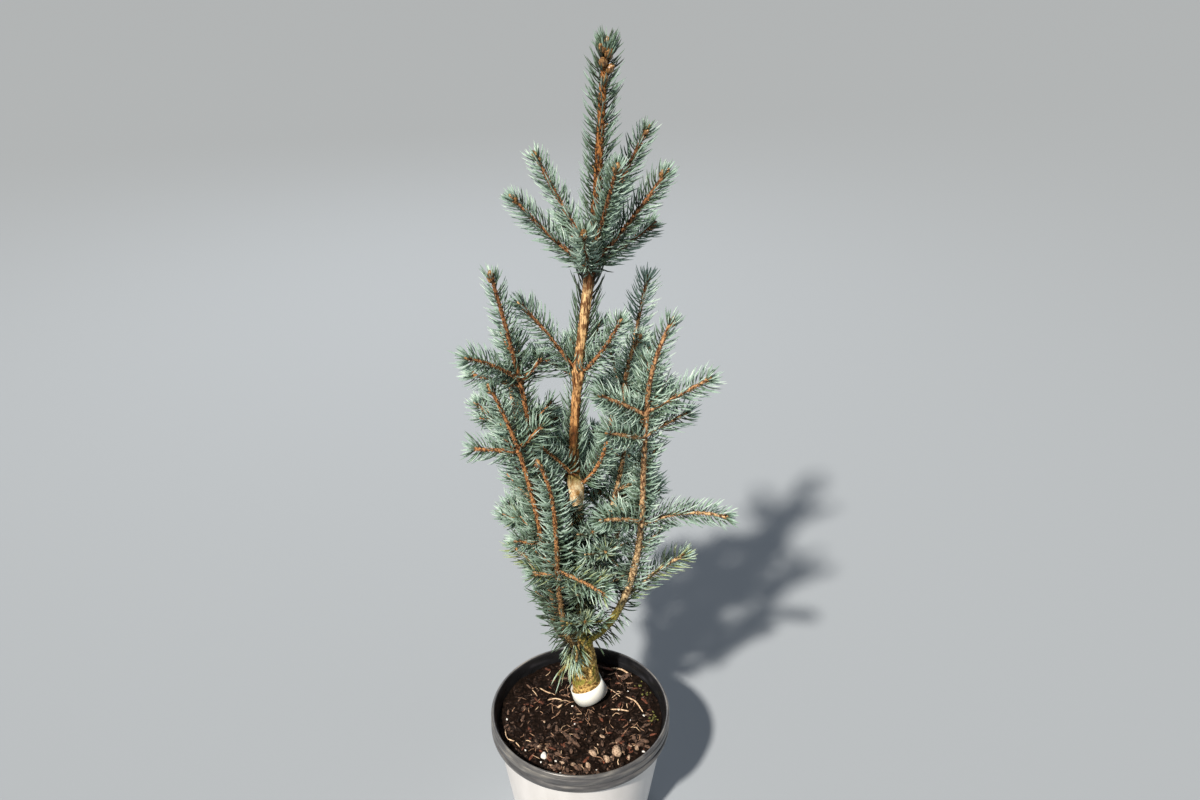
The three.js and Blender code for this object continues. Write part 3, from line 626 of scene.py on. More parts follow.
# %% Boughs in view, and their side shoots: distance along the bough, turns, rises, length
BOUGHS = {
    "right_front": {
        "height": 212, "turns": [324, 330, 304, 261, 314, 371], "rises": [41, 69, 80, 82, 88, 66],
        "length": 421, "bare": 84, "radius": 4.4,
        "shoots": [
            (100, [20, 14], [42, 22], 75),
            (203, [18, -8], [19, -13], 83),
            (207, [226, 216], [36, 16], 55),
            (210, [80, 70], [35, 45], 46),
            (304, [225, 224], [31, 25], 53),
            (308, [33, 30], [17, 8], 47),
            (322, [152, 148], [14, 20], 34),
            (329, [216, 204], [38, 30], 56),
            (333, [3, -3], [29, 33], 61),
            (336, [88, 80], [44, 52], 44),
        ],
    },
    "right_back": {
        "height": 282, "turns": [14, 19, 14, -31, -55], "rises": [62, 73, 81, 95, 57],
        "length": 297, "bare": 40, "radius": 3.4,
        "shoots": [
            (118, [50, 44], [34, 42], 52),
            (124, [350, 346], [30, 44], 38),
            (229, [118, 110], [40, 52], 52),
            (233, [50, 46], [34, 46], 48),
            (237, [34, 24], [78, 78], 107),
        ],
    },
    "left_tall": {
        "height": 196, "turns": [176, 238, 218, 217, 205, 202], "rises": [44, 92, 81, 85, 79, 77],
        "length": 455, "bare": 48, "radius": 4.0,
        "shoots": [
            (126, [168, 160], [24, 36], 46),
            (232, [150, 144], [30, 44], 50),
            (238, [78, 84], [36, 46], 40),
            (341, [98, 102], [40, 52], 48),
            (344, [174, 176], [16, 11], 46),
            (349, [24, 26], [38, 50], 29),
            (352, [224, 216], [44, 26], 65),
        ],
    },
    "left_middle": {
        "height": 226, "turns": [212, 235, 229, 204, 185], "rises": [46, 80, 81, 77, 67],
        "length": 333, "bare": 40, "radius": 3.4,
        "shoots": [
            (150, [196, 200], [22, 16], 26),
            (259, [118, 112], [26, 40], 30),
            (263, [188, 187], [10, 6], 41),
            (266, [16, 26], [36, 44], 30),
        ],
    },
    "left_front": {
        "height": 204, "turns": [244, 229, 276, 259, 211], "rises": [40, 84, 71, 82, 67],
        "length": 294, "bare": 34, "radius": 3.4,
        "shoots": [
            (142, [185, 186], [8, 2], 23),
            (147, [316, 328], [18, -18], 60),
        ],
    },
}
listed = sum(len(bough["shoots"]) for bough in BOUGHS.values())
print("boughs in view:", len(BOUGHS), "with", listed, "side shoots")

# %% [markdown]
# Three more boughs stand behind, where the photograph can't show them. They make the crown full from all
# sides, as a real plant's is. They have only the places of their nodes, as shares of their length.

# %% Boughs behind
BOUGHS |= {
    "back_left": {
        "height": 226, "turns": [136, 146, 134, 150], "rises": [40, 74, 82, 78],
        "length": 296, "bare": 44, "radius": 3.6, "nodes": [0.42, 0.76],
    },
    "back_right": {
        "height": 240, "turns": [40, 50, 46, 34], "rises": [40, 76, 84, 76],
        "length": 318, "bare": 44, "radius": 3.6, "nodes": [0.4, 0.74],
    },
    "back_middle": {
        "height": 298, "turns": [90, 94, 90], "rises": [34, 68, 80],
        "length": 168, "bare": 36, "radius": 3.0, "nodes": [0.68],
    },
}
print("boughs:", len(BOUGHS))

# %% [markdown]
# Each node of a bough behind carries a fan of side shoots, dealt by a small repeatable rule. The solids
# left out a shoot wherever it would have run into another limb. The frame tells which ones grew: where a
# shoot's bud should be, the solid has a corner.

# %% The rule for side shoots behind
NODE_SHOOTS = 4
NODE_SPREAD = 150
NODE_STEP = 3
NODE_SLIP = 20
NODE_LENGTHS = (34, 56)
NODE_RISES = (22, 44)
TIP_LIFT = 8
TIP_TURN = 0.15
BUD_LENGTH = 5


def seeded_random(seed):
    """The solids' own repeatable random source."""
    state = seed
    while True:
        state = state * 48271 % 2147483647
        yield state / 2147483647


def node_shoots(bough, random):
    """A fan of side shoots at each node of a bough that stands behind."""
    for node in bough.get("nodes", []):
        own = bough["turns"][round(node * (len(bough["turns"]) - 1))]
        for i in range(NODE_SHOOTS):
            fan = 2 * NODE_SPREAD * (i + 0.5) / NODE_SHOOTS
            turn = own - NODE_SPREAD + fan + (next(random) - 0.5) * NODE_SLIP
            rise = NODE_RISES[0] + (NODE_RISES[1] - NODE_RISES[0]) * next(random)
            length = NODE_LENGTHS[0] + (NODE_LENGTHS[1] - NODE_LENGTHS[0]) * next(random)
            at = bough["length"] * node + NODE_STEP * i
            yield at, [turn, turn + (own - turn) * TIP_TURN], [rise, rise + TIP_LIFT], length


def has_grown(path, node):
    """True where the solid of this mass has a corner at the shoot's bud."""
    tip = (path.points[-1] + path.forward[-1] * BUD_LENGTH) * MM
    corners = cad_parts[node].data.vertices
    return min((corner.co - Vector(tip)).length for corner in corners) < MM


print("side shoots that the rule deals to a node:", NODE_SHOOTS)

# %% [markdown]
# Now all the stems are put in one list. Each one notes which joined piece it is part of, because the bark,
# the needles, the pegs and the buds are made later, kind by kind, from this list.

# %% The list of stems
FOOT_RADIUS = 1.75
TIP_RADIUS = 1.3
SHOOT_BARE = 4
BARE_PAST_BARK = 1.5
LIMB_WAIST = 0.62
stems = []


def add_stem(name, group, path, bare, kind):
    """Notes a stem: the piece that it is part of, its path, its bare foot, and what sort of stem it is."""
    stems.append(SimpleNamespace(name=name, group=group, path=path, bare=bare, kind=kind))


for group, whorls in WHORLS.items():
    for name, (height, turns, rises, length) in (shoot for whorl in whorls for shoot in whorl.items()):
        axis, radius = trunk_at(height)
        path = Path(route(axis, turns, rises, length), [FOOT_RADIUS, TIP_RADIUS])
        add_stem(name, group, path, float(radius) + BARE_PAST_BARK, "shoot")

shoot_random = seeded_random(SEED + 1)
for name, bough in BOUGHS.items():
    axis, _ = trunk_at(bough["height"])
    radii = [bough["radius"], LIMB_WAIST * bough["radius"], TIP_RADIUS + 0.2]
    limb = Path(route(axis, bough["turns"], bough["rises"], bough["length"]), radii)
    group = name.split("_")[0]
    add_stem(name, group, limb, bough["bare"], "bough")
    for at, turns, rises, length in [*bough.get("shoots", []), *node_shoots(bough, shoot_random)]:
        foot = limb.at(np.array([at]))[0][0]
        path = Path(route(foot, turns, rises, length), [FOOT_RADIUS, TIP_RADIUS])
        if "nodes" not in bough or has_grown(path, "foliage_" + name):
            add_stem(name, group, path, SHOOT_BARE, "shoot")
print("boughs and shoots:", len(stems))

# %% [markdown]
# The solids stop at shoots. On the plant the sprays in front of the trunk and the boughs behind carry finer
# twigs still, in pairs either side of the shoot, and every bough has short spurs on its far side. Each
# could be drawn by hand, but there are many. Here they follow their parent's heading, and keep within
# the reach of the masses round them.

# %% Finer twigs and spurs
TWIG_PLACES = (0.3, 0.5, 0.7)
TWIG_SPLAY = 52
TWIG_SHARE = 0.42
TWIG_RISE = 0.6
TWIG_LIFT = 10
TWIG_TAPER = 0.75
TWIG_BARE = 2
SPUR_STARTS, SPUR_ENDS = 16, 0.85
SPUR_FAN, SPUR_SLIP = 80, 15
SPUR_RISES = (15, 45)
SPUR_SPACING = 34
SPUR_LENGTHS = (22, 36)
GOLDEN_TURN = 137.508
twig_rng = np.random.default_rng(SEED + 3)


def add_twig(parent, foot, turn, rise, length):
    """A straight fine twig that lifts a little towards its tip."""
    radii = [TIP_RADIUS, TIP_RADIUS * TWIG_TAPER]
    path = Path(route(foot, [turn, turn], [rise, rise + TWIG_LIFT], length), radii)
    add_stem(parent.name, parent.group, path, TWIG_BARE, "twig")


for stem in [stem for stem in stems if stem.group in ("front", "back") and stem.kind == "shoot"]:
    if stem.name.startswith("foot_spray"):
        continue
    for i, place in enumerate(TWIG_PLACES):
        foot, forward, *_ = (values[0] for values in stem.path.at(np.array([place * stem.path.length])))
        turn = math.degrees(math.atan2(forward[1], forward[0])) + TWIG_SPLAY * (1 if i % 2 else -1)
        rise = math.degrees(math.asin(forward[2])) * TWIG_RISE
        add_twig(stem, foot, turn, rise, stem.path.length * TWIG_SHARE)

for stem in [stem for stem in stems if stem.kind == "bough"]:
    runs = np.arange(stem.bare + SPUR_STARTS, SPUR_ENDS * stem.path.length, SPUR_SPACING)
    for i, run in enumerate(runs):
        foot = stem.path.at(np.array([run]))[0][0]
        slip = twig_rng.uniform(-SPUR_SLIP, SPUR_SLIP)
        turn = 90 + SPUR_FAN * math.sin(i * math.radians(GOLDEN_TURN)) + slip
        add_twig(stem, foot, turn, twig_rng.uniform(*SPUR_RISES), twig_rng.uniform(*SPUR_LENGTHS))

print("twigs and spurs:", sum(stem.kind == "twig" for stem in stems))

# %% [markdown]
# Low down, small twigs spring from the trunk itself, all round it, and at its foot short tufts of needles
# hang over the bark. Each twig is a golden angle round from the last, so that no two stand in line. Each
# tuft is listed, because the photograph shows them at the left of the foot.

# %% Twigs on the trunk, and tufts at its foot
TRUNK_TWIGS = {"heights": (236, 352), "spacing": 5.5, "lengths": (24, 42), "rises": (38, 68)}
# Heights and bearings
FOOT_TUFTS = [(228, 204), (222, 230), (216, 196), (211, 220), (205, 200), (199, 210)]
TUFT_LENGTH = 10
TUFT_SWING = 84
TUFT_DROOP = -32
TUFT_RADII = [1.0, 0.6]

trunk_twigs = SimpleNamespace(name="trunk_twigs", group="front")
for i, height in enumerate(np.arange(*TRUNK_TWIGS["heights"], TRUNK_TWIGS["spacing"])):
    foot, _ = trunk_at(height)
    rise, length = twig_rng.uniform(*TRUNK_TWIGS["rises"]), twig_rng.uniform(*TRUNK_TWIGS["lengths"])
    add_twig(trunk_twigs, foot, i * GOLDEN_TURN, rise, length)

for height, turn in FOOT_TUFTS:
    axis, radius = trunk_at(height)
    length = float(radius) + TUFT_LENGTH
    path = Path(route(axis, [turn, turn + TUFT_SWING], [0, TUFT_DROOP], length), TUFT_RADII)
    add_stem("foot_spray_tuft", "front", path, float(radius), "tuft")

print("tufts at the foot:", len(FOOT_TUFTS))

# %% [markdown]
# The leader, and the stretch of trunk between the whorls, are the trunk's own wood. They are noted as stems
# only to carry needles, and their bark is made with the trunk.

# %% Stretches of trunk that carry needles
STRETCH_BARE = 6
TRUNK_STRETCHES = {"leader": (LEADER_START - 10, TRUNK[-1, 0]), "internode": (440, 668)}
for kind, (low, high) in TRUNK_STRETCHES.items():
    axis, radius = trunk_at(np.arange(low, high + 0.5))
    group = "top" if kind == "leader" else "middle"
    add_stem(kind, group, Path(axis, radius), STRETCH_BARE, kind)
print("stems:", len(stems), "with", round(sum(stem.path.length for stem in stems)), "mm of wood")

# %% [markdown]
# A spruce shoot isn't smooth. Every needle stands on a small woody peg, which stays on the shoot for years,
# and the pegs are what makes the shoot look rough and orange. So needles and pegs are placed together. A
# particle system could scatter them, but only by chance, and an export drops it. Here they follow the rule
# that plants use: each one a golden angle round from the last. A needle leans forward, closes up round the
# bud, and on a level shoot it sweeps up towards the light. First comes how each kind of stem carries its
# needles.

# %% How each kind of stem carries its needles
# For each: how many a millimetre, how long, how far they lean from the stem, how they sweep, and how many
# of them the near side lacks, so that the stem shows
HABITS = {
    "leader": {"per_mm": 2.6, "length": 18, "lean": 62, "sweep": 0, "parted": 0.35},
    "shoot": {"per_mm": 2.1, "length": 19, "lean": 68, "sweep": 0.2, "parted": 0.55},
    "top_shoot": {"per_mm": 2.3, "length": 17, "lean": 60, "sweep": 0.2, "parted": 0.55},
    "bough": {"per_mm": 1.7, "length": 19, "lean": 72, "sweep": 0.15, "parted": 0.75},
    "twig": {"per_mm": 1.7, "length": 15, "lean": 60, "sweep": 0.2, "parted": 0},
    "internode": {"per_mm": 1.7, "length": 21, "lean": 38, "sweep": 0, "parted": 1},
    "limb_foot": {"per_mm": 1.1, "length": 17, "lean": 60, "sweep": -0.9, "parted": 1},
    "drooping": {"per_mm": 0.4, "length": 18, "lean": 60, "sweep": -1.1, "parted": 0.4},
    "tuft": {"per_mm": 1.0, "length": 17, "lean": 40, "sweep": -0.25, "parted": 0},
    "spray": {"per_mm": 1.7, "length": 18, "lean": 66, "sweep": 0.7, "parted": 0.4},
    "crown": {"per_mm": 6, "length": 15, "lean": 34, "sweep": 0, "parted": 0},
    "tip_tuft": {"per_mm": 8, "length": 18, "lean": 28, "sweep": 0, "parted": 0},
}
# How far needles stray from their direction, and how far those do that aren't listed
UNRULY = {"spray": 0.36, "tuft": 0.26, "drooping": 0.25, "tip_tuft": 0.2, "twig": 0.26, "leader": 0.1}
CALM = 0.05
print("ways to carry needles:", ", ".join(HABITS))

# %% [markdown]
# Not every place is free. A needle may not end in the trunk, in the compost or under the pot's lip, stems
# show through a parting on the side that faces the camera, and the trunk's pale knot stays in view and in
# the sun.

# %% Where there is room for needles
NEAR_SIDE = unit(np.array([0.02, -0.8, 0.6]))
KNOT = np.array([-2.5, 24, 401])
KNOT_CLEAR = 10
LIP_CLEAR = 3
BARK_CLEAR = 0.8


def is_clear(points, own_trunk):
    """True where points are outside the trunk, above the compost and clear of the pot's lip."""
    axis, radius = trunk_at(points[:, 2])
    from_trunk = np.hypot(*(points - axis)[:, :2].T) - radius
    from_middle = np.hypot(points[:, 0], points[:, 1])
    over_compost = (points[:, 2] > COMPOST_TOP + LIP_CLEAR) & (from_middle < lip - LIP_CLEAR)
    over_pot = points[:, 2] > POT_HEIGHT + LIP_CLEAR
    return (over_compost | over_pot) & (own_trunk | (from_trunk > BARK_CLEAR))


def shows_knot(points):
    """True where a point hides the trunk's pale knot neither from the near side nor from the sun."""
    shows = np.full(len(points), True)
    for side in (NEAR_SIDE, unit(np.array(SUN_FROM))):
        along = (points - KNOT) @ side
        beside = np.linalg.norm(points - KNOT - along[:, None] * side, axis=1)
        shows &= (along < 0) | (beside > KNOT_CLEAR)
    return shows


print("room for a needle in the trunk:", is_clear(np.array([[0, 28, 300.0]]), False)[0],
      "and beside it:", is_clear(np.array([[40, 28, 300.0]]), False)[0])

# %% [markdown]
# A needle's foot goes round the stem by the golden angle, with a little chance, and its direction is a sum:
# outward, forward along the stem, up to the light, and astray. Those near the tip lean closer and are
# shorter. Each kind has its own habit, so one function places them all.

# %% Place the needles on a stretch of stem
GOLDEN_ANGLE = math.radians(GOLDEN_TURN)
ANGLE_SLIP = 0.2
LEAN_SLIP = 6
LENGTH_RANGE = (0.75, 1.05)
TIP_LEAN = 42
TIP_STARTS = 0.85
TIP_SHORTER = 0.3
SUNK = 0.2
CURVE_IN, CURVE_UP, CURVE_BACK, CURVE_SLIP = 0.3, 0.4, 0.12, 0.04
PARTING = 0.5
rng = np.random.default_rng(SEED)


def place_needles(stem, kind, start, end):
    """Feet, outward directions, directions, bends and lengths of the needles on a stretch of stem."""
    path, habit = stem.path, HABITS[kind]
    count = int((end - start) * habit["per_mm"])
    order = np.arange(count)
    run = start + (order + rng.uniform(0, 1, count)) / habit["per_mm"]
    centre, forward, across, up, radius = path.at(run)
    angle = (order * GOLDEN_ANGLE + rng.normal(0, ANGLE_SLIP, count))[:, None]
    outward = np.cos(angle) * across + np.sin(angle) * up
    closing = np.clip((run / path.length - TIP_STARTS) / (1 - TIP_STARTS), 0, 1)[:, None]
    lean = habit["lean"] + (TIP_LEAN - habit["lean"]) * closing ** 2 + rng.normal(0, LEAN_SLIP, (count, 1))
    lean = np.radians(lean)
    level = 1 - np.abs(forward[:, 2:]) if habit["sweep"] > 0 else np.ones((count, 1))
    lift = habit["sweep"] * level * np.array([0, 0, 1.0])
    stray = rng.normal(0, UNRULY.get(kind, CALM), (count, 3))
    direction = unit(outward * np.sin(lean) + forward * np.cos(lean) + lift + stray)
    slip = rng.normal(0, CURVE_SLIP, (count, 3))
    bend = CURVE_IN * forward + CURVE_UP * lift - CURVE_BACK * outward + slip
    length = habit["length"] * rng.uniform(*LENGTH_RANGE, count) * (1 - TIP_SHORTER * closing[:, 0])
    feet = centre + outward * (radius[:, None] - SUNK)
    parted = (outward @ NEAR_SIDE > PARTING) & (rng.uniform(0, 1, count) < habit["parted"])
    points = feet + direction * length[:, None]
    own_trunk = stem.kind in TRUNK_STRETCHES
    kept = is_clear(points, own_trunk) & ~parted & shows_knot((feet + points) / 2)
    return feet[kept], outward[kept], direction[kept], bend[kept], length[kept], run[kept] / path.length


print("needles turn by", GOLDEN_TURN, "degrees from one to the next")

# %% [markdown]
# A stem has more than one sort of needle. A crown of short ones stands round its bud, a limb's foot has a
# few that hang, and the leader ends in a tuft. So each stem asks for its stretches one by one.

# %% Which needles a stem has
CROWN_DEPTH = 2.5
TIP_TUFT_DEPTH = 12
LIMB_FOOT_STARTS = 18


def needles_of(stem):
    """All the needles of a stem, with a crown of them round its bud. Feet of boughs have a few that hang."""
    end = stem.path.length
    if stem.name.startswith("foot_spray"):
        yield place_needles(stem, "tuft" if stem.kind == "tuft" else "drooping", stem.bare, end)
        return
    if stem.kind == "bough":
        yield place_needles(stem, "limb_foot", LIMB_FOOT_STARTS, stem.bare)
    own_kinds = {"front": "spray", "top": "top_shoot"} if stem.kind == "shoot" else {}
    yield place_needles(stem, own_kinds.get(stem.group, stem.kind), stem.bare, end)
    if stem.kind == "leader":
        yield place_needles(stem, "tip_tuft", end - TIP_TUFT_DEPTH, end)
    if stem.kind not in ("internode", "twig"):
        yield place_needles(stem, "crown", end - CROWN_DEPTH, end)


shortest, longest = (pick(habit["length"] for habit in HABITS.values()) for pick in (min, max))
print("needles are", shortest, "to", longest, "mm long, before they vary")

# %% [markdown]
# A needle of blue spruce is four-sided, stiff and curved a little, with a sharp point. A peg is a stub with
# three sides, which is enough at its size. Both are spindles: a few rings of corners along a bent line that
# end in a point. All the needles of a stretch are worked out at once, as one array.

# %% Spindles: needles and pegs, many at once
NEARLY_UPRIGHT = 0.95


def spindles(feet, directions, bends, lengths, widths, profile, sides):
    """Slim pointed shapes, with a ring for each (share of length, share of width) in the profile."""
    count = len(feet)
    beside = np.where(np.abs(directions[:, 2:]) > NEARLY_UPRIGHT, [[1.0, 0, 0]], [[0, 0, 1.0]])
    across = unit(np.cross(directions, beside))
    up = np.cross(directions, across)
    share, width = np.array(profile).T
    along = share[:, None] * lengths[:, None, None]
    bent = share[:, None] ** 2 * lengths[:, None, None]
    line = feet[:, None] + directions[:, None] * along + bends[:, None] * bent
    angle = 2 * np.pi * (np.arange(sides) + 0.5) / sides
    spokes = np.cos(angle)[:, None] * across[:, None] + np.sin(angle)[:, None] * up[:, None]
    half = (widths[:, None] * width / 2)[:, :, None, None]
    rings = (line[:, :, None] + half * spokes[:, None]).reshape(count, -1, 3)
    points = feet + (directions + bends) * lengths[:, None]
    corners = np.concatenate([rings, feet[:, None], points[:, None]], axis=1)
    faces = grid_faces(len(profile), sides) + np.arange(count)[:, None, None] * corners.shape[1]
    return corners.reshape(-1, 3), faces.reshape(-1, 3)


NEEDLE_PROFILE = [(0.0, 0.6), (0.3, 1.0), (0.6, 0.95), (0.85, 0.6)]
PEG_PROFILE = [(0.0, 1.0), (0.8, 0.6)]
NEEDLE_SIDES = 4
PEG_SIDES = 3
# A needle's rings are up to two shades darker at its foot: partly worn wax, partly painted shade near the
# stem.
WORN_AND_SHADED = [2, 1, 0]
wear_and_shade = np.repeat(WORN_AND_SHADED + WORN_AND_SHADED + [WORN_AND_SHADED[0], WORN_AND_SHADED[-1]], NEEDLE_SIDES)
print("triangles of one needle:", len(wear_and_shade))

# %% [markdown]
# Blue spruce is green under a bloom of pale wax. The wax scatters light, so a needle looks milky on its lit
# side and grey green in the shade. It wears off with age and where needles rub, so a plant has several
# blues, and low down the needles that get little light are olive. The two darkest, near black, are painted
# shade for needles deep in the crown and at their feet. A waxed skin is half matt: it gives the eye a soft
# sheen and no sharp highlight. One material with a pattern could vary the colour, but a pattern that is tied
# to places slides on a joined piece once it is exported. So each shade is a plain colour, dealt out spray
# by spray.

# %% Needle materials: a waxed leaf skin, from young to old, and two of painted shade
NEEDLE_SHADES = {
    "needle_skin_fresh_wax": "#cbe0d3",
    "needle_skin_blue_wax": "#acc6b8",
    "needle_skin_thin_wax": "#87a292",
    "needle_skin_worn_green": "#5f7762",
    "needle_skin_old_green": "#3c4d37",
    # These two near-black shades are painted shade.
    "needle_skin_old_inner_painted_shade": "#1f291b",
    "needle_skin_shaded": "#131910",
    "needle_skin_pale_olive": "#b2c2a0",
    "needle_skin_olive": "#93a06c",
    # The olive foot shade is partly painted shade.
    "needle_skin_olive_foot": "#59653c",
}
OLIVE = 7
# Rows of breathing pores run along a needle, a tenth of a millimetre apart. These are coarser, to show.
PORE_ROWS = 0.667
needle_skins = [
    grained_material(
        name, {"Base Color": linear(colour), "Roughness": 0.5, "IOR": 1.45, "Sheen Weight": 0.15},
        PORE_ROWS, {}, relief=(0.2, 0.1),
    )
    for name, colour in NEEDLE_SHADES.items()
]
print("needle shades:", len(needle_skins))

# %% [markdown]
# Bark changes with its age. This year's shoots are orange brown and matt. The older limbs are tan, and the
# foot of the plant is gold and olive, where algae and moss have settled on corky flakes. Painting each limb
# by hand would lose that when a limb moves. Here the colours follow the height, so a bark's material reads
# it and picks between a dark and a light tone of each age, in streaks as long as the bark's own plates.

# %% A recipe for bark
TREE_TOP = 836
BARK_RELIEF = 0.6
PATCH_EDGE = {"From Min": 0.5, "From Max": 0.6, "To Max": 0.8}


def bark_material(name, darks, lights, streak, contrast=0.1, patch=None):
    """Bark with a dark and a light tone at each height, in streaks, and perhaps patches of another colour.

    Heights and streaks are in millimetres. A patch is (colour, size)."""
    bark, tree, shader = new_material(name, {"Roughness": 0.82, "Specular IOR Level": 0.3})
    place = add_node(tree, "ShaderNodeTexCoord", {})
    parts = add_node(tree, "ShaderNodeSeparateXYZ", {}, {0: place.outputs["Object"]})
    height = add_node(tree, "ShaderNodeMath", {"operation": "DIVIDE", 1: TREE_TOP * MM},
                      {0: parts.outputs["Z"]})
    dark, light = (
        add_node(tree, "ShaderNodeValToRGB", {"stops": [(z / TREE_TOP, colour) for z, colour in tones]},
                 {"Fac": height.outputs[0]})
        for tones in (darks, lights)
    )
    across, along = (per_metre(size) for size in streak)
    stretch = add_node(tree, "ShaderNodeMapping", {"Scale": (across, across, along)},
                       {"Vector": place.outputs["Object"]})
    streaks = add_node(tree, "ShaderNodeTexNoise", {"Scale": 1.0, "Detail": 5.0, "Roughness": 0.65},
                       {"Vector": stretch.outputs[0]})
    share = add_node(tree, "ShaderNodeMapRange", {"From Min": 0.5 - contrast, "From Max": 0.5 + contrast},
                     {"Value": streaks.outputs[0]})
    tone = add_node(tree, "ShaderNodeMix", {"data_type": "RGBA"},
                    {0: share.outputs[0], 6: dark.outputs[0], 7: light.outputs[0]})
    if patch:
        colour, size = patch
        cloud = add_node(tree, "ShaderNodeTexNoise", {"Scale": per_metre(size), "Detail": 3.0},
                         {"Vector": place.outputs["Object"]})
        share = add_node(tree, "ShaderNodeMapRange", PATCH_EDGE, {"Value": cloud.outputs[0]})
        tone = add_node(tree, "ShaderNodeMix", {"data_type": "RGBA", 7: linear(colour)},
                        {0: share.outputs[0], 6: tone.outputs[2]})
    tree.links.new(tone.outputs[2], shader.inputs["Base Color"])
    rough = add_node(tree, "ShaderNodeBump", {"Strength": 0.5, "Distance": BARK_RELIEF * MM},
                     {"Height": streaks.outputs[0]})
    tree.links.new(rough.outputs[0], shader.inputs["Normal"])
    return bark


print("bark colours run up to", TREE_TOP, "mm")

# %% [markdown]
# All bark is dull and rough, so each of these is matt, and what tells them apart is the pair of tones at
# each height and the size of the streaks. Long narrow streaks read as lifting plates, and short ones as
# crumbs of cork.

# %% Barks of the trunk
# The trunk is young: pale plates that lift, 13 mm long, over dark cracks, with red brown fresh patches.
# From 632 mm up, just under the top whorl, it is painted nearly black: painted shade.
trunk_bark = bark_material(
    "spruce_bark_trunk_flaking",
    [(220, "#594c24"), (300, "#46311c"), (380, "#6a4a26"), (432, "#3a2a14"), (472, "#3d2812"),
     (490, "#562f17"), (615, "#603a1c"), (632, "#20120a"), (680, "#2a170c")],
    [(220, "#b8a058"), (300, "#b08a5c"), (380, "#e0b880"), (432, "#7d6436"), (472, "#8a6438"),
     (490, "#e0a86c"), (615, "#fcd49c"), (632, "#4a2e1a"), (680, "#5e3a20")],
    (1.9, 13), 0.06, ("#6a3f1e", 7),
)
# Moss and algae stain the old foot in soft green patches over gold cork.
foot_bark = bark_material(
    "spruce_bark_foot_mossy",
    [(130, "#6e4a1c"), (180, "#6a4e22"), (230, "#554824")],
    [(130, "#f6cc80"), (180, "#f0ca7c"), (230, "#c0a85c")],
    (2.6, 3.4), 0.08, ("#8c8c3c", 9),
)
# The swollen node is healed cork: pale cream, with brown crumbs. Its tones are painted paler still, near
# white: painted sunlight on the knot.
knot_bark_painted_light = bark_material(
    "spruce_cork_knot_pale_painted_light",
    [(380, "#a8703a"), (388, "#d8a868"), (412, "#cc9858"), (425, "#4a3a1c")],
    [(380, "#f0bc84"), (388, "#fff2d0"), (412, "#ffeec8"), (425, "#96824c")],
    (3.2, 4.2),
)
# The leader is one summer old: orange brown, with dark crumbs between its pegs.
leader_bark = bark_material(
    "spruce_bark_leader_young",
    [(660, "#2a170c"), (700, "#3a2010"), (820, "#4a2a14")],
    [(660, "#6a4426"), (700, "#a8703e"), (820, "#b87c46")],
    (1.6, 3.4), 0.07,
)
TRUNK_BARKS = [trunk_bark, foot_bark, knot_bark_painted_light, leader_bark]
print("barks of the trunk:", len(TRUNK_BARKS))

# %% Barks of limbs and pegs
# Older limbs have lost their orange. They look tan and crumbly, and green low down, where moss has settled.
bough_bark = bark_material(
    "spruce_bark_bough_corky",
    [(180, "#5c5522"), (275, "#5d5626"), (300, "#5c4228"), (500, "#57331d"), (700, "#4a2a18")],
    [(180, "#a09440"), (275, "#ac9e4e"), (300, "#ecd0a0"), (500, "#d8ab7c"), (700, "#c08e60")],
    (2.2, 4), 0.08,
)
# Shoots are orange brown, in short fine ridges that run from peg to peg.
shoot_bark = bark_material(
    "spruce_bark_shoot_orange",
    [(180, "#3f3419"), (300, "#4c3220"), (400, "#4e2a16"), (620, "#331b10")],
    [(180, "#8c7a4a"), (300, "#b08c60"), (400, "#cf935c"), (620, "#a8744c")],
    (1.6, 3), 0.08,
)
# Pegs are the same wood, dry and a little paler than the shoot, and look like a rough edge of light.
peg_cork = bark_material(
    "spruce_peg_cork",
    [(180, "#57472a"), (400, "#54301a"), (620, "#3c2214")],
    [(180, "#b4a06a"), (400, "#e0ab76"), (620, "#b8845a")],
    (1.8, 2.8), 0.07,
)
print("barks of limbs:", bough_bark.name, shoot_bark.name, peg_cork.name)

# %% [markdown]
# The trunk is one closed skin. Its foot is cracked into corky flakes, its middle is split into long thin
# plates that lift and peel, and wherever a limb leaves it there is a swollen collar. A displacement map
# could draw these. Here each is a small change of radius, worked out at every corner, so the relief is in
# the shape itself, and an exported mesh has it too.

# %% Relief of the trunk's bark
FLAKE, FLAKE_HEIGHT = 5.5, 5.5 * 1.6
PLATE, PLATE_HEIGHT = 1.5, 26
LUMPS_WIDE, LUMPS_FINE = 9, 2.5
CRACK_EDGE, FLAKE_LEVEL = 4, 0.6
WIDE_SHARE, FINE_SHARE = 0.7, 0.3
FLAKING = [205, 260], [1, 0]
PEELING = [225, 300, 600, 665], [0.3, 1, 1, 0.45]
KNOT_REACH = 16
KNOT_SMOOTH = 0.85
CORK_DEPTH, PLATE_DEPTH, LUMP_DEPTH, KNOT_DEPTH = 0.9, 0.5, 0.3, 1.5


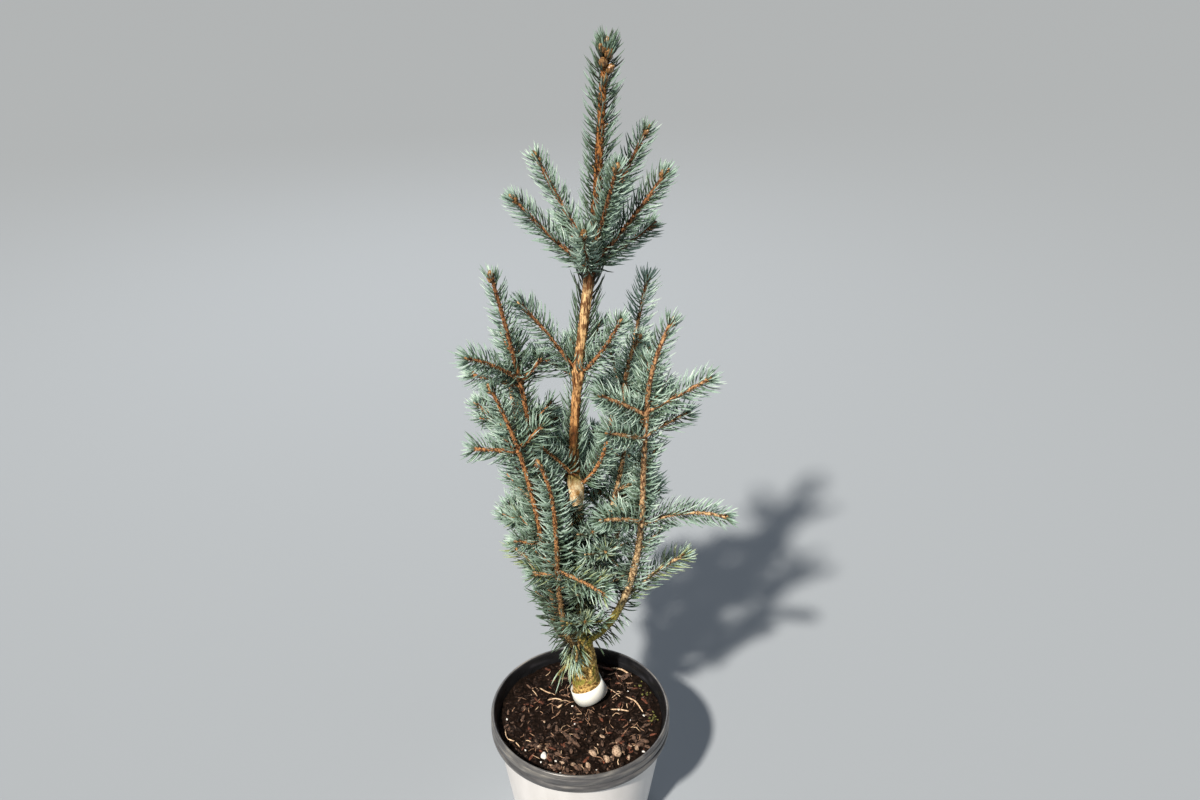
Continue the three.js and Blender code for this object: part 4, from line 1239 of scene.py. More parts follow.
def trunk_relief(offset, height):
    """How far the bark stands out at a point, in millimetres. Offset is from the trunk's axis."""
    at = Vector((offset[0], offset[1], height))
    flaking = np.interp(height, *FLAKING)
    knotty = math.exp(-((height - KNOT[2]) / KNOT_REACH) ** 2)
    peeling = np.interp(height, *PEELING) * (1 - KNOT_SMOOTH * knotty)
    gaps, _ = noise.voronoi(Vector((at.x / FLAKE, at.y / FLAKE, at.z / FLAKE_HEIGHT)))
    flake = min(1, (gaps[1] - gaps[0]) * CRACK_EDGE) - FLAKE_LEVEL
    plate = 1 - 2 * abs(noise.noise(Vector((at.x / PLATE, at.y / PLATE, at.z / PLATE_HEIGHT))))
    lump = noise.noise(at / LUMPS_WIDE) * WIDE_SHARE + noise.noise(at / LUMPS_FINE) * FINE_SHARE
    cork = flaking * (CORK_DEPTH * flake + CORK_DEPTH * lump)
    split = peeling * (PLATE_DEPTH * plate + LUMP_DEPTH * lump)
    return cork + split + KNOT_DEPTH * knotty * lump


print("relief at the knot:", round(trunk_relief((8, 0), KNOT[2]), 2), "mm")

# %% [markdown]
# The skin's rings follow the trunk's line, whose corners are smoothed first by a short running average.
# Every triangle then takes the bark of its height: mossy foot, flaking trunk, pale knot, flaking trunk,
# young leader.

# %% Trunk
TRUNK_SIDES = 64
TRUNK_RING = 1.4
SMOOTHING = 9
COLLAR = {"swell": 1.3, "above": 3, "height": 6.0, "width": 0.55}
BARK_BANDS = {"tops": (232, 380, 427, LEADER_START), "barks": np.array([1, 0, 2, 0, 3])}

heights = np.arange(TRUNK[0, 0], TRUNK[-1, 0] + 0.01, TRUNK_RING)
axis, radius = trunk_at(heights)
weights = np.hanning(SMOOTHING) / np.hanning(SMOOTHING).sum()
inner = slice(SMOOTHING // 2, -(SMOOTHING // 2))
for column in (0, 1):
    axis[inner, column] = np.convolve(axis[:, column], weights, "valid")
radius[inner] = np.convolve(radius, weights, "valid")
angle = bearings(TRUNK_SIDES)
spokes = np.stack([np.cos(angle), np.sin(angle)], axis=1)
radii = np.array([
    [r + trunk_relief(spoke * r, z) for spoke in spokes] for r, z in zip(radius, heights)
])
for stem in stems:
    foot, heading = stem.path.points[0], stem.path.forward[0]
    is_on_trunk = np.hypot(*(foot - trunk_at(foot[2])[0])[:2]) < 1
    if stem.kind in (*TRUNK_STRETCHES, "twig", "tuft") or not is_on_trunk:
        continue
    off_bearing = np.angle(np.exp(1j * (angle - math.atan2(heading[1], heading[0]))))
    swell = np.exp(-((heights - foot[2] - COLLAR["above"]) / COLLAR["height"]) ** 2)[:, None]
    radii += COLLAR["swell"] * swell * np.exp(-(off_bearing / COLLAR["width"]) ** 2)
corners, faces = tube(axis, RIGHT, AWAY, radii, TRUNK_SIDES)
bark_kind = BARK_BANDS["barks"][np.digitize(corners[faces[:, 0], 2], BARK_BANDS["tops"])]
add_piece("trunk_bark", [(corners, faces, bark_kind)], TRUNK_BARKS, "trunk_bark", ["trunk"])

# %% [markdown]
# Limbs and shoots are tubes along their paths, a little uneven, with a collar where they leave their
# parent. A curve with a bevel is quicker to write, but it has no lumps. All the wood of one group is
# joined, with two barks.

# %% Limbs and shoots
GROUPS = ["top", "middle", "front", "right", "left", "back"]
# Sides of a ring, and millimetres from ring to ring
BOUGH_MESH, SHOOT_MESH = (14, 1.6), (9, 2.2)
LIMB_COLLAR, LIMB_COLLAR_LENGTH = 0.35, 6
TIP_CLOSES, TIP_NARROWS = 0.5, 0.7
LIMB_LUMPS = {"fine": 2.2, "wide": 7, "share": 0.6, "depth": 0.13}


def limb_shape(stem):
    """A closed tube round a stem's path, thicker at its foot, with uneven bark."""
    path = stem.path
    sides, spacing = BOUGH_MESH if stem.kind == "bough" else SHOOT_MESH
    run = np.linspace(0, path.length, max(3, int(path.length / spacing)))
    centre, _, across, up, radius = path.at(run)
    collar = 1 + LIMB_COLLAR * np.exp(-run / LIMB_COLLAR_LENGTH)
    closing = np.where(run > path.length - TIP_CLOSES, TIP_NARROWS, 1.0)
    turn = bearings(sides)
    spokes = np.cos(turn)[:, None] * across[:, None] + np.sin(turn)[:, None] * up[:, None]
    skin = centre[:, None] + spokes * radius[:, None, None]
    fine, wide, share, depth = LIMB_LUMPS.values()
    lumps = np.array([
        [noise.noise(Vector(p / fine)) + share * noise.noise(Vector(p / wide)) for p in ring] for ring in skin
    ])
    return tube(centre, across, up, (radius * collar * closing)[:, None] * (1 + depth * lumps), sides)


def is_tan(stem):
    """True for limbs that have lost their orange: most boughs, and all on the right or in front."""
    if stem.name.startswith("foot_spray"):
        return False
    return (stem.kind == "bough" and stem.group != "left") or stem.group in ("right", "front")


for group in GROUPS:
    own = [stem for stem in stems if stem.group == group and stem.kind not in TRUNK_STRETCHES]
    shapes = [(*limb_shape(stem), 0 if is_tan(stem) else 1) for stem in own]
    boughs = ["bough_" + stem.name for stem in own if stem.kind == "bough"]
    add_piece("wood_" + group, shapes, [bough_bark, shoot_bark], "bough_bark", boughs)

# %% [markdown]
# Which of its blues a needle shows depends on where it grew and how old it is. It's youngest and palest far
# out and at a shoot's tip. Close to the trunk and low down it is older and greener, and it is painted darker
# still there, as painted shade. Underneath, on the inner side of a shoot, near a whorl shoot's foot and just
# under the top whorl it is painted darker as painted shade, and one shoot that stands in shadow is painted
# lighter, as painted light. A spray's needles are alike and differ a little, so one chance is dealt to the
# spray and one to each needle.

# %% The shade of each needle
# An age of 0 is fresh wax, and each step up is the next shade, to the last ones before olive. Ages here
# mix real age with painted shade.
LEADER_AGE, LEADER_TIP, LEADER_TIP_AGE = 1.9, 0.82, 0.6
# Between the whorls, needles are painted darker towards the top whorl: painted shade under it.
INTERNODE_AGES_AND_SHADE = [560, 610], [2.0, 4.0]
# A whorl shoot's needles are painted darker near its foot: painted shade.
WHORL_AGE, WHORL_FOOT_PAINTED_SHADE, WHORL_FOOT = 0.8, 1.0, 14
FOOT_SPRAY_AGE = 1.4
# Close to the trunk needles are older, and painted darker too: painted shade.
INSIDE_AGE_AND_SHADE, OUTSIDE_YOUTH, OUTSIDE = 2.75, 1.95, 75
TIP_YOUTH = 0.4
# Low down and near the trunk needles are painted darker: painted shade.
LOW_PAINTED_SHADE, LOW_BELOW, LOW_FADE = 0.9, 390, 120
INNER_FADE, INNER_REACH = 1.6, 60
# Needles on a shoot's inner side and underside are painted darker: painted shade.
INWARD_PAINTED_SHADE, BENEATH_PAINTED_SHADE = 1.3, 0.8
SPRAY_SLIP, NEEDLE_SLIP = 0.35, 0.75
# Shifts by stem or group; right_back's lifts a shoot that stands in shadow: painted light.
AGE_AND_LIGHT_SHIFTS = {"right": 0.1, "right_back": -1.4, "left": 0.1, "middle": -0.2, "front": -0.5}
OLDEST = OLIVE - 1 - max(WORN_AND_SHADED)
# How many of a low spray's needles are olive, at the foot and by the height at which the spray starts
FOOT_OLIVE_SHARE = 0.65
OLIVE_HEIGHTS, OLIVE_SHARES = [290, 350], [0.45, 0]


def shade_of(stem, feet, outward, share):
    """Which shade each needle takes: by its age and painted shade, or olive for some of those that are low
    down.
    """
    offset = (feet - trunk_at(feet[:, 2])[0]) * [1, 1, 0]
    from_trunk = np.linalg.norm(offset, axis=1)
    inward = np.clip(-(outward * offset).sum(axis=1) / np.maximum(from_trunk, 1), 0, 1)
    beneath = np.clip(-outward[:, 2], 0, 1)
    low = np.clip((LOW_BELOW - feet[:, 2]) / LOW_FADE, 0, 1)
    low = low * np.clip(INNER_FADE - from_trunk / INNER_REACH, 0, 1)
    olive_share = 0
    if stem.kind == "leader":
        age_and_shade = LEADER_AGE + LEADER_TIP_AGE * (share > LEADER_TIP)
    elif stem.kind == "internode":
        age_and_shade = np.interp(feet[:, 2], *INTERNODE_AGES_AND_SHADE)
    elif stem.group in ("top", "middle") and stem.kind == "shoot":
        age_and_shade = WHORL_AGE + WHORL_FOOT_PAINTED_SHADE * np.exp(-share * stem.path.length / WHORL_FOOT)
    elif stem.name.startswith("foot_spray"):
        age_and_shade = np.full(len(feet), FOOT_SPRAY_AGE)
    else:
        outside = np.clip(from_trunk / OUTSIDE, 0, 1)
        age_and_shade = INSIDE_AGE_AND_SHADE - OUTSIDE_YOUTH * outside - TIP_YOUTH * share + LOW_PAINTED_SHADE * low
    if stem.name.startswith("foot_spray"):
        olive_share = FOOT_OLIVE_SHARE
    elif stem.kind == "shoot":
        olive_share = np.interp(stem.path.points[0][2], OLIVE_HEIGHTS, OLIVE_SHARES)
    age_and_shade = age_and_shade + AGE_AND_LIGHT_SHIFTS.get(stem.name, AGE_AND_LIGHT_SHIFTS.get(stem.group, 0))
    chance = rng.uniform(-SPRAY_SLIP, SPRAY_SLIP) + rng.normal(0, NEEDLE_SLIP, len(share))
    dealt = chance + INWARD_PAINTED_SHADE * inward + BENEATH_PAINTED_SHADE * beneath
    shades = np.clip(np.round(age_and_shade + dealt), 0, OLDEST).astype(int)
    return np.where(rng.uniform(0, 1, len(share)) < olive_share, OLIVE, shades)


print("needle ages run from 0 to", OLDEST, "and their worn feet up to", OLDEST + max(WORN_AND_SHADED))

# %% [markdown]
# Now the needles and pegs of each group are grown, and joined into one piece each, which replaces the
# group's masses among the solids. A needle starts half way up its peg. Twigs are too thin to show pegs.

# %% Needles and pegs, group by group
NEEDLE_WIDTH = 1.25
WIDTH_RANGE = (0.85, 1.1)
PEG_LENGTH = 1.2
PEG_WIDTH = 1.4
PEG_LEAN = 0.9
NEEDLE_STARTS = 0.5
MASSES = {
    "top": ["leader_needles", *TOP_WHORL],
    "middle": [*UPPER_WHORL, *MIDDLE_WHORL],
    "front": [*FRONT_SPRAYS],
    "right": ["foliage_right_front", "foliage_right_back"],
    "left": ["foliage_left_tall", "foliage_left_middle", "foliage_left_front"],
    "back": ["foliage_back_left", "foliage_back_right", "foliage_back_middle"],
}

for group in GROUPS:
    needle_shapes, peg_shapes = [], []
    for stem in (stem for stem in stems if stem.group == group):
        for feet, outward, direction, bend, length, share in needles_of(stem):
            widths = NEEDLE_WIDTH * rng.uniform(*WIDTH_RANGE, len(feet))
            starts = feet + direction * PEG_LENGTH * NEEDLE_STARTS
            needles = spindles(starts, direction, bend, length, widths, NEEDLE_PROFILE, NEEDLE_SIDES)
            shades = shade_of(stem, feet, outward, share)[:, None] + wear_and_shade
            needle_shapes.append((*needles, shades.ravel()))
            if stem.kind == "twig":
                continue
            peg = unit(outward + PEG_LEAN * direction)
            full = np.full(len(feet), 1.0)
            pegs = spindles(feet, peg, 0 * peg, PEG_LENGTH * full, PEG_WIDTH * full, PEG_PROFILE, PEG_SIDES)
            peg_shapes.append((*pegs, 0))
    add_piece("needles_" + group, needle_shapes, needle_skins, "needles", MASSES[group], smooth=False)
    add_piece("pegs_" + group, peg_shapes, [peg_cork], "bough_bark", smooth=False)

# %% [markdown]
# Buds sit at the tips, one in the middle and smaller ones beside it, wrapped in resinous scales that
# overlap like tiles. Each scale could be a blade of its own, but it is only a millimetre across, so the
# bud's skin steps in and out by turns to suggest them. The leader's buds are larger, and some stand along
# it.

# %% Bud
BUD_SIDES = 12
BUD_RINGS = 11
SCALE_ROWS = 4
SCALE_STEP = 0.22
SCALE_REACH = 1.12
BUD_MOTTLE = 2.22
# The egg's outline is a stretch of a sine arch, in half turns, made a little blunter
ARCH_START, ARCH_SPAN, BLUNTER = 0.22, 0.76, 0.8

# Resin leaves the papery scales half glossy, so that each bud has one small warm light on it. They are
# brown at their edges and straw coloured in the middle.
bud_scale = grained_material(
    "bud_scale_resinous",
    {"Base Color": linear("#a06a3a"), "Roughness": 0.4, "IOR": 1.5, "Coat Weight": 0.25,
     "Coat Roughness": 0.3},
    BUD_MOTTLE, {"Detail": 3.0}, [(0.38, "#4a3014"), (0.52, "#8a6238"), (0.68, "#c7a26c")],
)


def bud(foot, forward, across, length, radius):
    """A pointed egg of overlapping scales."""
    share = np.linspace(0, 1, BUD_RINGS)
    outline = radius * np.sin(np.pi * (ARCH_START + ARCH_SPAN * share)) ** BLUNTER
    rows = share[:, None] * SCALE_ROWS + 0.5 * (np.arange(BUD_SIDES) // 2 % 2)
    steps = SCALE_REACH - SCALE_STEP * (rows % 1)
    centres = foot + forward * length * share[:, None]
    up = np.cross(forward, across)
    return (*tube(centres, across[None], up[None], outline[:, None] * steps, BUD_SIDES), 0)


print("a bud has", BUD_RINGS, "rings of", BUD_SIDES, "corners")

# %% [markdown]
# Every stem that ends in the open gets its buds, sized by how strong the shoot is. The leader's own are
# placed by how far they are below its tip, and on which side.

# %% Buds at the tips and along the leader
BUD_SIZES = {"leader": 1.5, "bough": 1.15, "top": 1.1, "middle": 0.8, "front": 0.5}
SIDE_BUD_SIZE = 0.75
BUDLESS = ("twig", "internode", "tuft")
# Length and radius in millimetres, at size 1
END_BUD, BESIDE_BUD, LEADER_BUD = (6, 2.1), (4.6, 1.65), (5.5, 2.0)
BUD_RANGE = (0.9, 1.1)
# A strong shoot has three buds beside its end bud, and a weak one two
STRONG = 0.9
BESIDE_TURN, BESIDE_LEAN, BESIDE_OUT, BESIDE_STEP = 1.45, 0.8, 0.8, 1.5
LEADER_LEAN, LEADER_SUNK = 1.1, 0.5
LEADER_BUDS = [
    (4, -130), (7, -60), (11, 60), (14, -110), (19, -30), (26, -80), (62, -20), (96, 150), (118, -75),
]
LEADER_BUD_SIZES = [22, 40], [1.7, 0.9]

bud_shapes = []
for stem in stems:
    if stem.kind in BUDLESS or stem.name.startswith("foot_spray"):
        continue
    path = stem.path
    tip, forward, across, up = path.points[-1], path.forward[-1], path.across[-1], path.up[-1]
    size = BUD_SIZES.get(stem.kind, BUD_SIZES.get(stem.group, SIDE_BUD_SIZE)) * rng.uniform(*BUD_RANGE)
    bud_shapes.append(bud(tip - forward, forward, across, *(END_BUD[i] * size for i in (0, 1))))
    for i in range(3 if size > STRONG else 2):
        turn = i * GOLDEN_ANGLE * BESIDE_TURN + rng.uniform(0, 6)
        aside = across * math.cos(turn) + up * math.sin(turn)
        heading = unit(forward + BESIDE_LEAN * aside)
        foot = tip - forward * (BESIDE_STEP + BESIDE_STEP * i) + aside * BESIDE_OUT
        beside = unit(np.cross(heading, up + 0.01))
        bud_shapes.append(bud(foot, heading, beside, *(BESIDE_BUD[i] * size for i in (0, 1))))

leader = next(stem.path for stem in stems if stem.kind == "leader")
for below, bearing in LEADER_BUDS:
    centre, forward, *_, radius = (values[0] for values in leader.at(np.array([leader.length - below])))
    aside = np.array([math.cos(math.radians(bearing)), math.sin(math.radians(bearing)), 0])
    heading = unit(forward + LEADER_LEAN * aside)
    size = np.interp(below, *LEADER_BUD_SIZES)
    foot = centre + aside * (radius - LEADER_SUNK)
    beside = unit(np.cross(heading, forward))
    bud_shapes.append(bud(foot, heading, beside, *(LEADER_BUD[i] * size for i in (0, 1))))
add_piece("buds", bud_shapes, [bud_scale], "bough_bark")

# %% [markdown]
# The compost is damp peat and composted bark. Its top could be a plane with a displacement map. Here it is
# a skin of rings, lifted by three noises, finer and finer, so that chips can ask how high the compost is
# under them. Damp peat is dark and dull, and gives the eye almost black hollows with paler crumbs where it
# has dried.

# %% Compost
COMPOST_RINGS = 84
COMPOST_SIDES = 250
COMPOST_DEPTH = 9
COMPOST_RISE = 0.3
WALL_CLEAR = 0.2
INNERMOST = 0.01
MOUND = {"middle": (8, 30), "height": 2.2, "spread": 1500}
# How high lumps of each size stand, in millimetres
LUMP_HEIGHTS = {21: 2.2, 7: 2.0, 3: 1.3}
LEVEL_ROUND_TRUNK = 30
PEAT_CRUMB = 3.85
compost_reach = float(np.interp(COMPOST_TOP, [collar_foot, POT_HEIGHT - 4],
                                [NURSERY_NECK_RADIUS - NURSERY_WALL, lip])) - WALL_CLEAR


def compost_height(x, y):
    """Height of the compost's lumpy top, gently mounded round the trunk."""
    from_middle = math.hypot(x - MOUND["middle"][0], y - MOUND["middle"][1])
    mound = MOUND["height"] * math.exp(-from_middle ** 2 / MOUND["spread"])
    lumps = sum(rise * noise.noise(Vector((x, y, 0)) / size) for size, rise in LUMP_HEIGHTS.items())
    return COMPOST_TOP + COMPOST_RISE + mound + lumps * min(1, from_middle / LEVEL_ROUND_TRUNK)


peat = grained_material(
    "peat_compost_damp", {"Roughness": 0.9, "Specular IOR Level": 0.1},
    PEAT_CRUMB, {"Detail": 6.0, "Roughness": 0.7},
    [(0.38, "#080402"), (0.56, "#1c120c"), (0.72, "#40302a")], relief=(0.9, 1.2),
)
turn = bearings(COMPOST_SIDES)
rings = []
for share in np.linspace(1, INNERMOST, COMPOST_RINGS):
    places = [(compost_reach * share * math.cos(t), compost_reach * share * math.sin(t)) for t in turn]
    rings.append([(x, y, compost_height(x, y)) for x, y in places])
underside = COMPOST_TOP - COMPOST_DEPTH
skirt = [(x, y, underside) for x, y, _ in rings[0]]
skin = np.array([skirt, *rings]).reshape(-1, 3)
ends = np.array([(0, 0, underside), (0, 0, compost_height(0, 0))])
shape = (np.concatenate([skin, ends]), grid_faces(COMPOST_RINGS + 1, COMPOST_SIDES), 0)
add_piece("compost_top", [shape], [peat], "compost", ["compost"])

# %% [markdown]
# On the compost lie chips of bark, pale root fibres, straws, grains of perlite, grit and tufts of moss. All
# are dry and dull, since they stick out of the damp. A photograph of litter could be laid over the skin,
# but it would look flat from the side, so each bit is a small solid of its own, and all are joined.

# %% Kinds of litter
BARK_LAYER = 2.38
# Composted pine bark is layered and dark brown, with paler edges where it is dry.
bark_chip = grained_material(
    "pine_bark_chip", {"Roughness": 0.85, "Specular IOR Level": 0.2},
    BARK_LAYER, {"Detail": 4.0}, [(0.38, "#0f0906"), (0.56, "#281b14"), (0.7, "#5c483e")],
    relief=(0.6, 0.4),
)
# For each: its dark and light tones, its roughness, and after it what that gives the eye
LITTER = {
    "bark_chip_rusty": ("#341a0e", "#74402a", 0.8),  # fresh inner bark, red brown
    "bark_chip_brown": ("#30221a", "#6e5444", 0.85),  # dry outer bark, greyish
    "root_fibre_pale": ("#6a4f3c", "#b48e72", 0.7),  # dead roots, pinkish and a little smooth
    "straw_bleached": ("#b08f70", "#efd2ae", 0.6),  # the brightest strokes, with a slight gloss
    "perlite_expanded": ("#d9d6cf", "#fbfaf6", 0.8),  # blown volcanic glass, chalk white dots
    "grit_sandstone": ("#7d6552", "#cbb096", 0.75),  # rounded stones, warm and sandy
    "moss_tuft": ("#2c3214", "#77763a", 0.9),  # soft yellow green spots
}
LITTER_GRAIN = 2
LITTER_RELIEF = (0.4, 0.3)
litter = {"chip": 0}
litter_materials = [bark_chip]
for name, (dark, light, roughness) in LITTER.items():
    litter[name.split("_")[-1]] = len(litter_materials)
    litter_materials.append(grained_material(
        name, {"Roughness": roughness}, LITTER_GRAIN, {"Detail": 3.0}, [(0.38, dark), (0.6, light)],
        relief=LITTER_RELIEF,
    ))
print("kinds of litter:", ", ".join(litter))

# %% [markdown]
# Bark breaks into flat flakes, dead roots and straw dry into bent threads, and perlite, grit and moss are
# rounded grains, so three shapes make all the litter. Rigid bodies could be dropped on the compost to
# settle, but that takes long and comes out otherwise each time. Here each bit is laid at the compost's own
# height, and is uneven by chance, so that no two are alike.

# %% Flakes
ANY_TURN = (0, 6.3)
CHIP_RINGS = np.array([0.45, 0.9, 1.0, 0.9, 0.4])
CHIP_SIDES = 6
CHIP_TILT, CHIP_RISE, CHIP_BOW = 0.2, 0.3, 0.12
CHIP_BROKEN = (0.75, 1.15)


def lying(x, y, turn, tilt, rise=0.0):
    """A place on the compost, and the directions along, across and up for something that lies there."""
    level = math.cos(tilt)
    along = np.array([math.cos(turn) * level, math.sin(turn) * level, math.sin(tilt)])
    across = unit(np.cross([0, 0, 1.0], along))
    return np.array([x, y, compost_height(x, y) + rise]), along, across, np.cross(along, across)


def chip(x, y, turn, length, width, thickness, kind):
    """A flake of bark, broken off unevenly at both ends."""
    middle, along, across, up = lying(x, y, turn, rng.normal(0, CHIP_TILT), thickness * CHIP_RISE)
    share = np.linspace(-0.5, 0.5, len(CHIP_RINGS))
    swell = CHIP_RINGS[:, None] * rng.uniform(*CHIP_BROKEN, (len(CHIP_RINGS), CHIP_SIDES))
    bow = up * ((0.5 ** 2 - share ** 2) * length * rng.normal(0, CHIP_BOW))[:, None]
    centres = middle + along * (share * length)[:, None] + bow
    half_width, half_thickness = across[None] * width / 2, up[None] * thickness / 2
    return (*tube(centres, half_width, half_thickness, swell, CHIP_SIDES), litter[kind])


print("corners of a flake's rings:", CHIP_SIDES * len(CHIP_RINGS))

# %% Threads and rounded grains
FIBRE_RINGS = 9
FIBRE_SIDES = 5
FIBRE_END = 0.5
LUMP_RINGS = 8
LUMP_SIDES = 10
LUMP_ENDS = (0.03, 0.97)
LUMP_CHANCE = (0.88, 1.08)
# Shares of a grain's size: how much longer and flatter than round, how high it sits and stands, how it slants
LONGER, FLATTER, SITS, STANDS, SLANTS = 0.16, 0.1, 0.2, 0.38, 0.12


def fibre(points, radius, kind):
    """A root fibre or straw that follows points (x, y, rise) lying on the compost."""
    knots = np.array([(x, y, compost_height(x, y) + radius + rise) for x, y, rise in points])
    share = np.linspace(0, len(knots) - 1, FIBRE_RINGS)
    line = np.stack([np.interp(share, np.arange(len(knots)), knots[:, i]) for i in range(3)], axis=1)
    line[1:-1] = (line[:-2] + line[1:-1] * 2 + line[2:]) / 4
    forward = unit(np.gradient(line, axis=0))
    across = unit(np.cross([0, 0, 1.0], forward))
    thin_ends = np.array([FIBRE_END, *np.ones(FIBRE_RINGS - 2), FIBRE_END])
    return (*tube(line, across, np.cross(forward, across), radius * thin_ends, FIBRE_SIDES), litter[kind])


def lump(x, y, size, kind):
    """A rounded grain, longer than it is wide, with a few flats."""
    share = np.linspace(*LUMP_ENDS, LUMP_RINGS)
    turn = rng.uniform(*ANY_TURN)
    side = bearings(LUMP_SIDES)
    uneven = 1 + LONGER * np.sin(2 * side + turn) + FLATTER * np.sin(3 * side + 2 * turn)
    chance = rng.uniform(*LUMP_CHANCE, (LUMP_RINGS, LUMP_SIDES))
    outline = np.sin(np.pi * share)[:, None] * uneven * chance * size / 2
    heights = compost_height(x, y) + size * (SITS - STANDS * np.cos(np.pi * share))
    slant = size * SLANTS * np.cos(np.pi * share)
    centres = np.stack([slant + x, slant * math.sin(turn) + y, heights], axis=1)
    return (*tube(centres, RIGHT, AWAY, outline, LUMP_SIDES), litter[kind])


print("corners of a thread's rings:", FIBRE_SIDES * FIBRE_RINGS, "and a grain's:", LUMP_SIDES * LUMP_RINGS)

# %% [markdown]
# Most of the litter is fine and lies by chance, clear of the trunk and its label. Towards the front the
# flakes are coarser, as they are in the photograph.

# %% Fine litter, scattered
CHIPS, FIBRES, GRAINS = 760, 105, 26
TRUNK_FOOT = (9, 29.5)
FOOT_CLEAR = 21
COARSE_BEFORE, COARSER = -15, 1.45
CHIP_LENGTHS, CHIP_SHAPES, CHIP_THICKNESSES = (2.5, 8.5), (0.25, 0.55), (0.7, 1.8)
CHIP_KINDS = ["chip"] * 8 + ["brown"] * 2 + ["rusty"]
FIBRE_LENGTHS, FIBRE_RADII, FIBRE_RISE = (5, 15), (0.25, 0.5), 1.5
PALE_FIBRES = 0.7
FIBRE_BOW = 0.3
GRAIN_SIZES = (1.2, 2.6)
PERLITE_SHARE = 0.5
# How far from the compost's edge each kind stays
CHIPS_CLEAR, FIBRES_CLEAR, GRAINS_CLEAR = 5, 12, 8


def scatter(count, reach_out):
    """Places on the compost, clear of the trunk and its label."""
    while count:
        spread, turn = reach_out * math.sqrt(rng.uniform(0, 1)), rng.uniform(0, 2 * math.pi)
        x, y = spread * math.cos(turn), spread * math.sin(turn)
        if math.hypot(x - TRUNK_FOOT[0], y - TRUNK_FOOT[1]) > FOOT_CLEAR:
            count -= 1
            yield x, y


litter_shapes = []
for x, y in scatter(CHIPS, compost_reach - CHIPS_CLEAR):
    kind = rng.choice(CHIP_KINDS)
    length = (COARSER if y < COARSE_BEFORE else 1.0) * rng.uniform(*CHIP_LENGTHS)
    turn, width = rng.uniform(*ANY_TURN), length * rng.uniform(*CHIP_SHAPES)
    litter_shapes.append(chip(x, y, turn, length, width, rng.uniform(*CHIP_THICKNESSES), kind))
for x, y in scatter(FIBRES, compost_reach - FIBRES_CLEAR):
    turn, length = rng.uniform(*ANY_TURN), rng.uniform(*FIBRE_LENGTHS)
    half = np.array([math.cos(turn), math.sin(turn)]) * length / 2
    bow = np.array([-half[1], half[0]]) * rng.normal(0, FIBRE_BOW)
    kind = "pale" if rng.uniform() < PALE_FIBRES else "bleached"
    middle = (x + bow[0], y + bow[1], rng.uniform(0, FIBRE_RISE))
    points = [(x - half[0], y - half[1], 0), middle, (x + half[0], y + half[1], 0)]
    litter_shapes.append(fibre(points, rng.uniform(*FIBRE_RADII), kind))
for x, y in scatter(GRAINS, compost_reach - GRAINS_CLEAR):
    size = rng.uniform(*GRAIN_SIZES)
    kind = "expanded" if rng.uniform() < PERLITE_SHARE else "sandstone"
    litter_shapes.append(lump(x, y, size, kind))
print("bits of fine litter:", len(litter_shapes))

# %% [markdown]
# A few pieces stand out in the photograph, and lie where it shows them: bleached straws, white perlite,
# sandy grit near the front, and large flakes of bark. Places are in millimetres from the pot's middle.

# %% The pieces that stand out in the compost, where they lie
# Straws: points and radius
STRAWS = [
    ([(34, 74, 0), (46, 68, 1.5), (57, 59, 0)], 1.0),
    ([(28.8, 41.3, 0), (36, 35, 0.5), (43, 27.6, 0)], 0.5),
    ([(48.5, 27.6, 0), (60, 20, 1), (67.4, 5.4, 0)], 0.9),
    ([(32.9, 9.8, 0), (42, 8, 0.5), (52.3, 5.4, 0)], 0.8),
    ([(-36, 23, 0), (-28, 25, 1), (-20.5, 21.6, 0)], 0.7),
    ([(-46, 41, 0), (-38, 33, 1), (-28, 30, 0)], 0.7),
    ([(-79, -20, 1), (-77, -34, 1), (-67.5, -36.7, 0), (-62, -43, 0)], 0.7),
]
# Grains: place, size and kind
LUMPS = [
    (-36.4, -55.3, 7.2, "expanded"), (-24, -62, 2.6, "expanded"), (66, -49, 3.2, "expanded"),
    (38.5, -51.4, 11, "sandstone"), (28.1, -60.6, 8, "sandstone"), (13.8, -51.4, 8.5, "sandstone"),
    (59.2, -46.1, 5, "sandstone"), (-6, -66, 5, "sandstone"), (9, -68, 6, "sandstone"),
]
# Flakes: place, turn in radians, length, width, thickness and kind
LARGE_CHIPS = [
    (15, 77, 2.8, 13, 6, 2.0, "rusty"), (31, 71, 3.0, 15, 5, 1.6, "rusty"),
    (50, 58, 0.4, 14, 8, 2.4, "brown"),
    (-25, 10.5, 0.65, 13, 3.4, 1.2, "bleached"), (39.8, -36.7, 0.9, 9, 6, 2.2, "rusty"),
    (-33, -40.7, 0.2, 8, 5, 2.0, "brown"), (-9, -35, 5.5, 26, 6.5, 2.6, "brown"),
    (14, -44, 1.2, 15, 5, 2.2, "brown"), (70, 22, 2.2, 12, 5, 1.6, "rusty"),
    (-62, -4, 1.2, 10, 4, 1.6, "brown"),
]
litter_shapes += [fibre(points, radius, "bleached") for points, radius in STRAWS]
litter_shapes += [lump(*grain) for grain in LUMPS]
litter_shapes += [chip(*flake) for flake in LARGE_CHIPS]
print("pieces that stand out:", len(STRAWS) + len(LUMPS) + len(LARGE_CHIPS))

# %% [markdown]
# Moss has settled near the pot's right side, in patches of a few tufts, and chunks of bark fill the front
# between the grit. They have no place of their own in the photograph, so they lie by chance within a patch.

